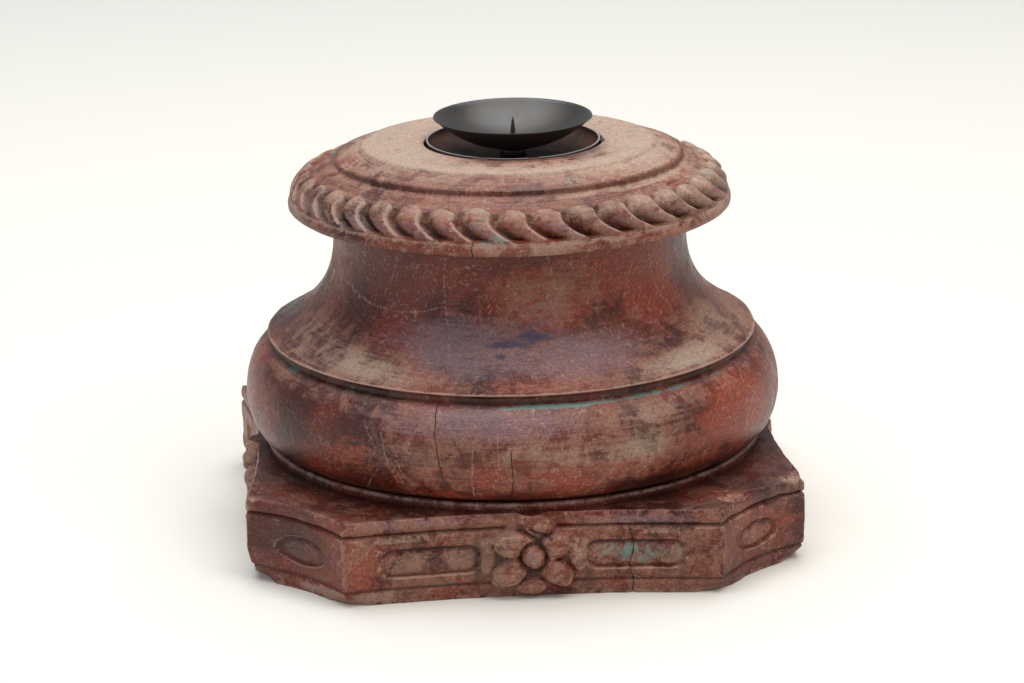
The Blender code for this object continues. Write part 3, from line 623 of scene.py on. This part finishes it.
# The turned and carved part of the block, above the plinth
def addBody(bm, layers):
    profile = bodyProfile()
    count = form["bodyColumns"]
    store = {}

    def place(column, row):
        radius, height, part, share = profile[row]
        before = profile[max(0, row - 1)]
        after = profile[min(len(profile) - 1, row + 1)]
        out = Vector((after[1] - before[1], before[0] - after[0])).normalized()
        angle = 360 * column / count - 180
        depth, relief = 0.0, None
        if part == "rope":
            relief = ropeRelief(angle + 180, share)
            depth = relief[0]
        side = Vector((math.sin(math.radians(angle)), -math.cos(math.radians(angle)), 0))
        point = side * radius + Vector((0, 0, height))
        recessed = part == "recess" or part == "top" and share > 0.95
        carved = 0.0 if recessed or part == "bead" and row > 3 else partUneven[part]
        uneven = grain(point, 0.060, 2) * 0.00055 + grain(point + Vector((3, 1, 2)), 0.014, 2) * 0.00022
        depth -= uneven * carved
        if part in ("disc", "slope", "ledge"):
            torn = spot(angle, height, tornEdge, (6, 0.0035))
            depth += torn * (0.0012 + 0.0010 * grain(point, 0.0035, 2))
        reach = radius - out.x * depth
        lift = height - out.y * depth
        if part in ("torus", "scotia"):
            reach = min(reach, radius + 0.0004)
        if recessed:
            position = side * radius + Vector((form["fittingShift"], 0, lift))
        else:
            shift = form["fittingShift"] * smooth(0.093, 0.058, radius) if height > 0.24 else 0.0
            position = side * reach + Vector((shift, 0, lift))
        # The top leans as a whole, the rope less towards its foot, and what is below the lip not at all
        lean = smooth(form["lip"], form["heads"], height)
        if part == "recess":
            lean = smooth(0.236, 0.2417, height)
        if part in ("under", "neck", "scotia", "torus", "bead", "fillet"):
            lean = 0.0
        position.z += lean * (form["tiltRight"] * position.x - form["tiltFront"] * position.y)
        store[(column, row)] = bodyMarks(profile[row], angle, relief)
        return position

    growRings(bm, count, list(range(len(profile))), place, True, True)
    for vert in bm.verts:
        for name, value in store[(vert[layers["column"]], vert[layers["row"]])].items():
            vert[layers[name]] = value
    print("turned body:", len(profile), "rows of", count)


# Plinth

# Points of the plinth's outline from above, with their place on a side or a cut corner
def plinthColumns():
    half = form["plinthWidth"] / 2
    inner = half - form["cornerCut"]
    columns = []

    def run(kind, quarter, start, end, hollow, count):
        chord = end - start
        along = chord.normalized()
        left = Vector((-along.y, along.x))
        radius = (chord.length ** 2 / 4 + hollow ** 2) / (2 * hollow)
        spread = math.asin(chord.length / 2 / radius)
        turnMatrix = Matrix.Rotation(math.radians(90 * quarter), 2)
        for index in range(count):
            share = 2 * index / count - 1
            if kind == "side" and count == form["frontColumns"]:
                share = 0.62 * share + 0.38 * share ** 3
            turn = spread * share
            point = (start + end) / 2 + along * radius * math.sin(turn) \
                + left * (hollow - radius * (1 - math.cos(turn)))
            outward = -along * math.sin(turn) - left * math.cos(turn)
            columns.append({"point": turnMatrix @ point, "out": (turnMatrix @ outward).normalized(),
                            "kind": kind, "quarter": quarter, "along": radius * turn,
                            "end": (1 - abs(share)) * chord.length / 2})

    # The front, which has the sharpest carving, has its columns drawn in towards the rosette
    for quarter in range(4):
        run("side", quarter, Vector((-inner, -half)), Vector((inner, -half)), form["sideHollow"],
            form["frontColumns"] if quarter == 0 else form["sideColumns"])
        run("corner", quarter, Vector((inner, -half)), Vector((half, -inner)), form["cornerHollow"],
            form["cornerColumns"])
    return columns


# The plinth is a little wider at the back than at the front
def widenBack(point):
    half = form["plinthWidth"] / 2
    point.x *= 1 + form["rearSpread"] / half * (point.y / half + 1) / 2
    return point


# Depth of a sunk panel with a pillowed floor, and its groove, cushion and rim shares
def panelDepth(along, level, length, height, oval):
    if oval:
        reach = math.hypot(along / (length / 2), level / (height / 2))
        inside = (1 - reach) * height / 2
    else:
        straight = (length - height) / 2
        inside = height / 2 - math.hypot(max(0.0, abs(along) - straight), level)
    if inside < -0.0012:
        return 0.0, 0.0, 0.0, 0.0
    fall = smooth(-0.0003, 0.0006, inside)
    climb = smooth(0.0008, form["panelSlope"], inside)
    swell = 0.0005 * smooth(form["panelSlope"], 0.008, inside)
    depth = form["panelDepth"] * fall - form["panelCushion"] * climb - swell
    rim = smooth(-0.0012, -0.0003, inside) * (1 - fall)
    return depth, fall * (1 - climb), climb, rim


# Petals and leaves: (along, up, half length, half width in millimetres, tilt in degrees, height as a share)
rosettePetals = [
    (-11.0, 7.6, 15.4, 9.0, -8, 0.95), (-14.4, -10.2, 12.4, 9.2, 32, 0.8),
    (14.0, -10.4, 12.6, 8.6, -36, 0.84), (14.4, 6.4, 11.2, 8.8, 24, 0.76),
    (2.0, 20.4, 12.4, 8.2, -24, 0.74), (-1.0, -19.4, 10.0, 5.6, 0, 0.56), (-27.5, 1.0, 5.0, 13.0, 0, 0.42),
    (26.5, 0.0, 6.0, 12.0, 8, 0.48),
]
rosetteBoss = (6.4, 7.2)              # half width and half height in millimetres
rosetteGouge = ((-1.6, 17.8), (11.0, 11.2))      # one deep cut across the upper leaf, end to end
rosetteField = (28, 23)               # half width and half height of the low ground round the petals


# Relief of the rosette as a share, with its hollow, crest and boss shares
def rosetteHeight(along, level):
    if abs(along) > 0.034 or abs(level) > 0.029:
        return 0.0, 0.0, 0.0, 0.0
    # In millimetres, with the small strays of a hand
    across = along * 1000 + 0.9 * grain(Vector((along, level, 0.3)), 0.009, 2)
    up = level * 1000 + 0.9 * grain(Vector((along, level, 0.7)), 0.009, 2)
    best, crest, second = 0.0, 0.0, 0.0
    for middle, high, length, width, tilt, height in rosettePetals:
        turn = math.radians(tilt)
        run = (across - middle) * math.cos(turn) + (up - high) * math.sin(turn)
        side = (up - high) * math.cos(turn) - (across - middle) * math.sin(turn)
        inside = 1 - math.hypot(run / length, side / width)
        if inside <= 0:
            continue
        rise = height * (0.66 * smooth(0.0, 0.20, inside) + 0.34 * smooth(0.10, 0.60, inside))
        if rise > best:
            second, best = best, rise
            crest = smooth(0.10, 0.22, inside) * smooth(0.42, 0.28, inside)
        else:
            second = max(second, rise)
    centre = math.hypot(across / rosetteBoss[0], up / rosetteBoss[1])
    groove = smooth(1.55, 1.25, centre) * smooth(0.95, 1.1, centre)
    disc = smooth(1.0, 0.75, math.hypot(across / rosetteField[0], up / rosetteField[1]))
    onPetal = best > 0.15
    height = max(best, 0.20 * disc) - 0.22 * smooth(0.20, 0.0, best - second) * onPetal
    height *= 1 - 0.5 * groove
    hollow = max(groove * 0.8, smooth(0.14, 0.0, best - second) * onPetal * 0.7,
                 smooth(0.30, 0.06, best) * disc * 0.9)
    start, end = rosetteGouge
    way = (end[0] - start[0], end[1] - start[1])
    run = ((across - start[0]) * way[0] + (up - start[1]) * way[1]) / (way[0] ** 2 + way[1] ** 2)
    run = min(1.0, max(0.0, run))
    cut = smooth(1.9, 0.5, math.hypot(across - start[0] - way[0] * run, up - start[1] - way[1] * run))
    height -= 0.22 * cut
    hollow = max(hollow, cut)
    boss = 0.0
    if centre < 1:
        height = 0.55 + 0.42 * math.sqrt(1 - centre * centre)
        hollow, crest, boss = 0.0, 0.0, 1 - centre ** 3
    return height, hollow, crest, boss


# Patches seen on the front and the corners beside it, by quarter turn and kind of face:
# (mark, along, height, reach along, reach up in metres, strength)
plinthSpots = {
    (0, "side"): [
        ("rub", -0.104, 0.025, 0.012, 0.02, 0.95), ("rub", 0.06, 0.008, 0.04, 0.003, 0.65),
        ("rub", -0.06, 0.006, 0.04, 0.004, 0.55), ("rub", -0.06, 0.027, 0.03, 0.006, 0.25),
        ("verdigris", 0.062, 0.0262, 0.032, 0.008, 0.66), ("verdigris", -0.052, 0.027, 0.016, 0.005, 0.34),
        ("verdigris", -0.055, 0.0105, 0.012, 0.0015, 0.5), ("raw", 0.0285, 0.0275, 0.0045, 0.007, 0.5),
        ("edge", 0.03, 0.026, 0.009, 0.014, 0.65), ("edge", -0.032, 0.03, 0.006, 0.012, 0.6),
        ("raw", 0.022, 0.04, 0.006, 0.004, 0.34), ("hollow", 0.1, 0.02, 0.006, 0.01, 0.4),
        # The bloom-and-sheen strips along the roll are a painted highlight
        ("bloom_and_sheen", 0.06, 0.047, 0.05, 0.005, 0.85), ("bloom_and_sheen", -0.07, 0.05, 0.05, 0.0035, 0.9),
        ("bloom_and_sheen", 0.0, 0.026, 0.008, 0.007, 0.8), ("edge", -0.098, 0.004, 0.022, 0.006, 0.7),
        ("edge", -0.08, 0.0395, 0.034, 0.0018, 0.8), ("edge", 0.075, 0.0395, 0.03, 0.0018, 0.7),
        ("hollow", -0.0335, 0.026, 0.0035, 0.02, 0.7), ("hollow", 0.0335, 0.014, 0.004, 0.008, 0.6),
    ],
    (3, "corner"): [
        ("hollow", 0.0, 0.03, 0.034, 0.022, 0.62), ("bloom_and_sheen", -0.01, 0.03, 0.03, 0.018, 0.4),
        ("edge", 0.03, 0.004, 0.05, 0.005, 0.9),
    ],
    (0, "corner"): [
        ("rub", 0.01, 0.03, 0.034, 0.016, 0.6), ("dust_and_sheen", 0.03, 0.05, 0.02, 0.006, 0.4),
    ],
}


# Dust and rubbing on each kind of face
faceMarks = {"side": (0.52, 0.42), "corner": (0.36, 0.20), "leftCorner": (0.24, 0.20)}


# How far the plinth's side stands out of its outline and slides along it at a height, and its marks there
def plinthRelief(column, level):
    marks = dict.fromkeys(markNames, 0.0)
    along, kind, quarter = column["along"], column["kind"], column["quarter"]
    face = "leftCorner" if kind == "corner" and quarter == 3 else kind
    marks["dust_and_sheen"], marks["rub"] = faceMarks[face]
    roll = form["plinthHeight"] - form["rollHeight"]
    offset = 0.0
    for groove in (form["bandHeight"], roll):
        near = smooth(form["grooveWidth"], 0.0002, abs(level - groove))
        offset -= form["grooveDepth"] * near
        # Painted shade in the grooves
        marks["hollow"] = max(marks["hollow"], 0.55 * near)
        lip = smooth(0.0021, 0.0015, abs(level - groove + 0.0004)) * (1 - near)
        marks["edge"] = max(marks["edge"], 0.55 * lip)
    if level > roll:
        lean = (level - roll) / form["rollHeight"] * 2 - 1
        offset -= form["rollSwell"] * (1 - math.sqrt(max(0.0, 1 - lean * lean * 0.98)))
        # Painted highlight along the top of the roll
        marks["bloom_and_sheen"] = max(marks["bloom_and_sheen"], 0.55 * smooth(0.2, 0.9, lean))
        marks["dust_and_sheen"] = max(marks["dust_and_sheen"], 0.42 * smooth(0.3, 0.9, lean))
    foot = max(0.0, 1 - column["end"] / form["hornReach"])
    leftHorn = foot * (quarter == 3 and (along > 0) == (kind == "side"))      # the most worn one in the photo
    worn = (form["footRound"] + form["hornWear"] * foot) * (1 - smooth(-0.002, 0.011, level))
    worn += form["leftHornWear"] * leftHorn ** 0.7 * (1 - smooth(-0.004, 0.024, level))
    offset -= worn
    slide = -math.copysign(form["hornSlide"] * worn * foot, along)    # both faces of a horn wear to one edge
    footEdge = 0.55 * smooth(0.006, 0.001, level) + 0.3 * foot * smooth(0.02, 0.0, level)
    marks["edge"] = max(marks["edge"], footEdge, 0.55 * smooth(0.004, 0.0008, column["end"]))
    height = level - form["panelLevel"]
    if kind == "corner":
        depth, groove, cushion, rim = panelDepth(along, height, form["ovalLength"], form["ovalHeight"], True)
    else:
        depth, groove, cushion, rim = panelDepth(abs(along) - form["panelOffset"], height,
                                                 form["panelLength"], form["panelHeight"], False)
    offset -= depth
    # Painted shade under each panel's upper edge, and painted highlight on its lower lip and upper bevel
    marks["hollow"] = max(marks["hollow"], groove * (0.72 if height > 0 else 0.45))
    marks["edge"] = max(marks["edge"], rim * (0.45 if height > 0 else 0.95))
    marks["bloom_and_sheen"] = max(marks["bloom_and_sheen"], 0.6 * groove * smooth(0.0, 0.004, height))
    marks["dust_and_sheen"] = max(marks["dust_and_sheen"], 0.62 * cushion)
    if kind == "corner" and quarter == 3:
        marks["edge"] = max(marks["edge"], rim)
        marks["hollow"] = max(marks["hollow"], 0.55 * cushion)
        marks["verdigris"] = 0.30 * cushion
    if kind == "side":
        relief = form["rosetteWorn"] if quarter == 1 else form["rosetteRelief"]
        share, hollow, crest, boss = rosetteHeight(along, level - form["rosetteLevel"])
        cover = smooth(0.02, 0.12, share)
        rough = grain(Vector((along, quarter, level)), 0.0055, 3)
        if share > 0.02:
            offset = max(offset, share * relief + (0.0006 - 0.0004 * boss) * rough * cover)
            # Painted shade in the gaps between petals, and painted highlight round each petal's shoulder
            marks["hollow"] = max(marks["hollow"] * (1 - cover), hollow * 0.85,
                                  0.4 * smooth(0.2, 0.6, -rough) * (1 - boss))
            marks["edge"] = max(marks["edge"] * (1 - cover), crest * 0.62,
                                0.7 * smooth(0.30, 0.7, rough) * (1 - boss))
            marks["dust_and_sheen"] = max(marks["dust_and_sheen"], 0.62 * cover)
            marks["bloom_and_sheen"] = max(marks["bloom_and_sheen"] * (1 - cover), 0.25 * cover, 1.0 * boss)
            lowLeft = smooth(0.0, -0.0045, along + level - form["rosetteLevel"])
            marks["rub"] = max(marks["rub"], lowLeft * boss)
    for name, middle, up, wide, tall, strength in plinthSpots.get((quarter, kind), ()):
        away = ((along - middle) / wide) ** 2 + ((level - up) / tall) ** 2
        marks[name] = max(marks[name], strength * math.exp(-away ** spotSharpness))
    if quarter == 0 and kind == "side":
        # The open crack to the right of the rosette, wider at the foot
        gap = along - 0.0592 - 0.0012 * math.sin(level * 260)
        wide = blend(0.0010, 0.0004, smooth(0.0, 0.04, level))
        offset -= 0.0018 * smooth(wide * 2.2, wide * 0.6, abs(gap)) * smooth(0.043, 0.036, level)
        marks["crackGap"] = gap
        beside = smooth(lineFade["gone"], lineFade["whole"], abs(gap))
        marks["crackShare"] = beside * smooth(0.046, 0.042, level)
    return offset, slide, marks


# Spalls on the plinth's top edge: (x, y, reach, depth)
chips = [
    (0.121, -0.143, 0.012, 0.0020), (0.164, -0.113, 0.013, 0.0026), (-0.168, -0.116, 0.005, 0.0006),
    (-0.112, 0.166, 0.010, 0.0018), (0.171, 0.060, 0.008, 0.0014),
]
plinthRowStart = 1000      # the plinth's rows are numbered from here, past the body's


# The square foot, with its hollow sides, roll, panels and rosettes
def addPlinth(bm, layers):
    columns = plinthColumns()
    # Heights of the rows in tenths of a millimetre, closer together at the grooves and the edges of panels
    walls = [0, 8, 20, 36, 54, 70, 82, 88, 92, 96, 101, 107, 120, 134, 148, 160, 166, 172, 179, 188, 200, 214,
             229, 244, 259, 274, 289, 303, 316, 326, 333, 339, 344, 350, 360, 374, 389, 404, 417, 426, 431,
             435, 440, 446, 456, 468, 482, 496, 508, 518, 525, 529]
    rings = [0.0, 0.04, 0.10, 0.18, 0.28, 0.40, 0.54, 0.70, 0.86, 1.0]      # shares of the way in on top
    count = len(columns)
    rows = 1 + len(walls) + len(rings)
    store = {}

    def place(column, row):
        outline = columns[column]
        key = (column, plinthRowStart + row)
        if row == 0:
            store[key] = dict.fromkeys(markNames, 0.0)
            return (outline["point"].normalized() * form["underRing"]).to_3d()
        if row <= len(walls):
            level = walls[row - 1] / 10000
            offset, slide, marks = plinthRelief(outline, level)
            along = Vector((-outline["out"].y, outline["out"].x))
            flat = outline["point"] + outline["out"] * offset + along * slide
            here = Vector((flat.x, flat.y, level))
            uneven = grain(here, 0.022, 3) * 0.0007 + grain(here, 0.0060, 2) * 0.00022
            point = (flat + outline["out"] * min(0.0003, uneven)).to_3d()
            point.z = level
        else:
            share = rings[row - 1 - len(walls)]
            offset, slide, marks = plinthRelief(outline, walls[-1] / 10000)
            edge = outline["point"] + outline["out"] * (offset - 0.0006)
            flat = edge.lerp(edge.normalized() * form["topRing"], share)
            point = flat.to_3d()
            cover = smooth(0.30, 0.0, share)
            marks = {name: value * cover for name, value in marks.items()}
            marks["dust_and_sheen"] = max(marks["dust_and_sheen"], 0.36, 0.60 * smooth(0.175, 0.205, flat.length))
            # Painted shade on the plinth's top, darker towards the foot of the body under the torus
            marks["hollow"] = max(marks["hollow"], 0.16 * smooth(0.55, 1.0, share) + 0.58)
            marks["edge"] = max(marks["edge"], 0.5 * (1 - smooth(0.0, 0.06, share)))
            point.z = form["plinthHeight"] - 0.0004 + min(0.0, grain(point, 0.018, 3) * 0.0006)
        top = smooth(0.040, 0.052, point.z)
        for x, y, reach, depth in chips:
            away = math.hypot(point.x - x, point.y - y) + 0.0022 * grain(point, 0.006, 2)
            bite = smooth(reach, reach * 0.55, away) * top
            if bite > 0:
                point.z -= depth * bite
                marks["raw"] = max(marks["raw"], 0.62 * bite)
                marks["hollow"] *= 1 - bite
        store[key] = marks
        return widenBack(point)

    growRings(bm, count, [plinthRowStart + row for row in range(rows)], place, True, True)
    for vert in bm.verts:
        marks = store.get((vert[layers["column"]], vert[layers["row"]]), {})
        for name, value in marks.items():
            vert[layers[name]] = value
    print("plinth:", rows, "rows of", count)


def pedestal():
    bm = bmesh.new()
    for name in ("column", "row"):
        bm.verts.layers.int.new(name)
    for name in markNames:
        bm.verts.layers.float.new(name)
    # Looked up once all are there, because each new layer moves the others
    layers = {name: bm.verts.layers.int[name] for name in ("column", "row")}
    layers.update({name: bm.verts.layers.float[name] for name in markNames})
    addBody(bm, layers)
    addPlinth(bm, layers)
    item = finishMesh("carved_pedestal", bm, pedestalMaterial(), 52)
    print("pedestal triangles:", sum(len(face.vertices) - 2 for face in item.data.polygons))
    return item


pedestalPiece = pedestal()
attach(pedestalPiece, "root")
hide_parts("pedestal")
print("pedestal made")


# Iron fitting

ironLook = {
    "shift": form["fittingShift"], "steps": 128, "sharpAngle": 50,
    "black": "#292827", "brown": "#2e2621",      # stove black over sheet iron
    "rust": "#5a3423", "darkRust": "#33201a",    # browned iron
    "worn": "#8f9194",                           # bare metal in flecks, and the pale ring on the saucer's rim
    "paleRimHeights": (0.24325, 0.24382),           # pale ring along the saucer's rim between these heights, painted highlight with worn metal
    "patchSize": 18, "gritSize": 1.6,            # millimetres; the real grit is finer than shows
}


# Sheet iron under a thin black or brown coat, which gives a soft sheen, no mirror, and a fine grit
def ironMaterial(name, base, patch, rough, paleRim):
    look = ironLook
    material, shader, add, link = newMaterial(name)
    soft = {"interpolation_type": "SMOOTHSTEP"}
    mixed = {"output": 2, "data_type": "RGBA"}
    place = add("ShaderNodeTexCoord", output="Object")
    broad = add("ShaderNodeTexNoise", {"Vector": place, "Scale": 1000 / look["patchSize"], "Detail": 5,
                                       "Roughness": 0.65, "Distortion": 0.4})
    grit = add("ShaderNodeTexNoise", {"Vector": place, "Scale": 1000 / look["gritSize"], "Detail": 4,
                                      "Roughness": 0.7})
    patches = add("ShaderNodeMapRange", {0: broad, 1: 0.42, 2: 0.62}, **soft)
    colour = add("ShaderNodeMix", {0: patches, 6: srgb(base), 7: srgb(patch)}, **mixed)
    flecks = add("ShaderNodeMapRange", {0: grit, 1: 0.62, 2: 0.74, 4: 0.18}, **soft)
    colour = add("ShaderNodeMix", {0: flecks, 6: colour, 7: srgb(look["worn"])}, **mixed)
    if paleRim:
        low, high = look["paleRimHeights"]
        height = add("ShaderNodeSeparateXYZ", {0: place}, 2)
        below = add("ShaderNodeMapRange", {0: height, 1: high, 2: high + 0.0001, 3: 0.8, 4: 0.0}, **soft)
        rim = add("ShaderNodeMapRange", {0: height, 1: low, 2: low + 0.0003, 4: below}, **soft)
        colour = add("ShaderNodeMix", {0: rim, 6: colour, 7: srgb(look["worn"])}, **mixed)
    sheen = add("ShaderNodeMapRange", {0: broad, 1: 0.3, 2: 0.7, 3: rough - 0.05, 4: rough + 0.08}, **soft)
    link(colour, shader.inputs["Base Color"])
    link(sheen, shader.inputs["Roughness"])
    bump = add("ShaderNodeBump", {"Height": grit, "Distance": 0.0002, "Strength": 0.4})
    link(bump, shader.inputs["Normal"])
    return material


blackIron = ironMaterial("stove_blacked_sheet_iron", ironLook["black"], ironLook["brown"], 0.34, False)
brownIron = ironMaterial("browned_sheet_iron", ironLook["rust"], ironLook["darkRust"], 0.62, True)


# Spins a half section of (radius, height) points round the fitting's own upright middle
def spun(name, points, material, steps=None, extra=None):
    bm = bmesh.new()
    verts = [bm.verts.new((radius, 0, height)) for radius, height in points]
    edges = [bm.edges.new(pair) for pair in zip(verts, verts[1:])]
    bmesh.ops.spin(bm, geom=verts + edges, cent=(0, 0, 0), axis=(0, 0, 1), angle=math.tau,
                   steps=steps or ironLook["steps"], use_merge=True)
    bmesh.ops.remove_doubles(bm, verts=[vert for vert in bm.verts if vert.co.xy.length < 1e-6], dist=1e-6)
    if extra:
        extra(bm)
    bmesh.ops.translate(bm, verts=bm.verts, vec=(ironLook["shift"], 0, 0))
    return finishMesh(name, bm, material, ironLook["sharpAngle"])


dishForm = {"low": 0.2381, "rim": 0.2584, "outer": 0.0497, "sheet": 0.0012, "flat": 0.0095, "rows": 14}


# Spun dish with a thin edge and a small flat in its middle
def candleDish():
    low, rim, outer = dishForm["low"], dishForm["rim"], dishForm["outer"]
    sheet, flat, rows = dishForm["sheet"], dishForm["flat"], dishForm["rows"]

    # Radius of a bowl of this depth at a height above its lowest point
    def arc(depth, height):
        sphere = (outer ** 2 + depth ** 2) / (2 * depth)
        return math.sqrt(max(0.0, sphere ** 2 - (sphere - height) ** 2))

    deep = rim - low
    outside = [(0.0, low), (flat, low), (flat + 0.0013, low + 0.0003)]
    for step in range(rows + 1):
        share = 0.06 + 0.93 * step / rows
        outside.append((arc(deep, deep * share), low + deep * share))
    edge = [(outer, rim - 0.0004), (outer - 0.0002, rim), (outer - 0.0008, rim)]
    deep = rim - low - sheet
    inside = []
    for step in range(rows + 1):
        share = 0.985 - 0.925 * step / rows
        inside.append((arc(deep, deep * share) * (1 - sheet / outer), low + sheet + deep * share))
    inside += [(flat + 0.0010, low + sheet + 0.0003), (0.0, low + sheet)]
    return spun("candle_dish_metal", outside + edge + inside, blackIron)


saucerForm = {
    "rim": 0.2438, "floor": 0.2326, "flat": 0.026, "wall": 0.0278, "sheet": 0.0012, "rows": 14,
    "tabThick": 0.0008,
    # (degrees, wide, long) of the tabs bent down from its edge
    "tabs": [(-24.0, 0.0086, 0.0022), (8.8, 0.0062, 0.0032), (80.6, 0.0070, 0.0024)],
}


# The tabs lie on the wood, so they follow the slope of the worn top
def addTabs(bm):
    for angle, wide, long in saucerForm["tabs"]:
        height = form["top"] + 0.0004 + form["tiltFront"] * 0.056 * math.cos(math.radians(angle))
        place = Matrix.Rotation(math.radians(angle), 4, "Z") \
            @ Matrix.Translation((0, -0.0548 - long / 2, height)) \
            @ Matrix.Diagonal((wide, long, saucerForm["tabThick"], 1))
        bmesh.ops.create_cube(bm, size=1, matrix=place)


# Shallow saucer sunk in the top
def saucer():
    rim, floor, flat = saucerForm["rim"], saucerForm["floor"], saucerForm["flat"]
    wall, sheet, rows = saucerForm["wall"], saucerForm["sheet"], saucerForm["rows"]
    outside = [(0.0, floor - sheet), (flat - 0.0005, floor - sheet)]
    inside = [(0.0, floor), (flat - 0.0002, floor)]
    for step in range(1, rows + 1):
        turn = math.radians(90 * step / rows)
        reach = flat + wall * math.sin(turn)
        rise = (rim - floor) * (1 - math.cos(turn))
        outside.append((reach + sheet / 2, floor + rise - sheet * (step < rows - 1)))
        inside.append((reach - sheet / 2, floor + rise))
    return spun("saucer_metal", outside + inside[::-1], brownIron, extra=addTabs)


# Half sections of the two small pieces: (radius, height) in millimetres
stemSection = [(0, 232.9), (8, 232.9), (8.2, 233.2), (8.2, 237.4), (7.9, 237.8), (0, 237.8)]
spikeSection = [(0, 239.6), (1.8, 239.6), (1.7, 244), (1.4, 250), (0.8, 255), (0.2, 257.5), (0, 257.6)]


def inMetres(section):
    return [(radius / 1000, height / 1000) for radius, height in section]


def stem():
    return spun("stem_metal", inMetres(stemSection), blackIron, 48)


def spike():
    return spun("spike_metal", inMetres(spikeSection), blackIron, 20)


for make, node, slot in ((candleDish, "candle_dish", "blackened_iron"),
                         (saucer, "sunk_saucer", "browned_iron"),
                         (stem, "stem", "blackened_iron"),
                         (spike, "spike", "blackened_iron")):
    piece = make()
    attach(piece, "root")
    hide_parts(node)
print("iron fitting made")


# Floor, light and camera

stageLook = {
    "floor": "#dedcd6", "floorReach": 6.0, "floorRoughness": 0.85, "sky": "#e9eff5", "skyStrength": 0.40,
    "lightsAim": (0, 0, 0.1),
    "lights": [
        # (name, place, metres across, watts, colour)
        ("overhead", (0.0, 0.4, 3.0), 3.0, 125, "#fbfaf8"),
        ("key", (0.7, -0.8, 1.5), 0.9, 9, "#fff2e2"),
        ("fill", (-1.4, -0.9, 0.8), 1.4, 4, "#eaf2ff"),
    ],
}


def studio():
    floorMaterial, shader = newMaterial("plain_pale_floor")[:2]
    shader.inputs["Base Color"].default_value = srgb(stageLook["floor"])
    shader.inputs["Roughness"].default_value = stageLook["floorRoughness"]
    bm = bmesh.new()
    bmesh.ops.create_grid(bm, x_segments=1, y_segments=1, size=stageLook["floorReach"])
    floor = finishMesh("floor", bm, floorMaterial)
    world = bpy.data.worlds.new("sky")
    bpy.context.scene.world = world
    world.use_nodes = True
    background = world.node_tree.nodes["Background"]
    background.inputs["Color"].default_value = srgb(stageLook["sky"])
    background.inputs["Strength"].default_value = stageLook["skyStrength"]
    for name, place, size, power, colour in stageLook["lights"]:
        data = bpy.data.lights.new(name, "AREA")
        data.size = size
        data.energy = power
        data.color = srgb(colour)[:3]
        light = bpy.data.objects.new(name, data)
        light.location = place
        away = Vector(place) - Vector(stageLook["lightsAim"])
        light.rotation_euler = away.to_track_quat("Z", "Y").to_euler()
        bpy.context.scene.collection.objects.link(light)


# Fitted to the photo: angles in degrees, and how far off the camera stood in widths of a photo pixel
photoView = {
    "tilt": 16.8, "swing": 3.83, "roll": -0.95,
    "distance": 3500, "photoWidth": 1024, "pixelSize": 0.000635,      # metres at the pedestal
    "aimUp": 175.2, "aimRight": 0.4,                                  # pixels from the middle of the foot
    "sensor": 36,
}


def photoCamera():
    view = photoView
    data = bpy.data.cameras.new("camera")
    data.sensor_width = view["sensor"]
    data.lens = view["distance"] / view["photoWidth"] * view["sensor"]
    data.dof.use_dof = False
    data.clip_start = 0.05
    camera = bpy.data.objects.new("camera", data)
    bpy.context.scene.collection.objects.link(camera)
    bpy.context.scene.camera = camera
    tilt, swing, roll = (math.radians(view[name]) for name in ("tilt", "swing", "roll"))
    back = Vector((-math.sin(swing) * math.cos(tilt), -math.cos(swing) * math.cos(tilt), math.sin(tilt)))
    turn = back.to_track_quat("Z", "Y").to_matrix().to_4x4() @ Matrix.Rotation(roll, 4, "Z")
    right = turn.to_3x3() @ Vector((1, 0, 0))
    place = Vector((0, 0, view["aimUp"])) + back * view["distance"] + right * view["aimRight"]
    camera.matrix_world = Matrix.Translation(place * view["pixelSize"]) @ turn


studio()
photoCamera()
bpy.context.scene.view_settings.view_transform = "Standard"
print("stage set")
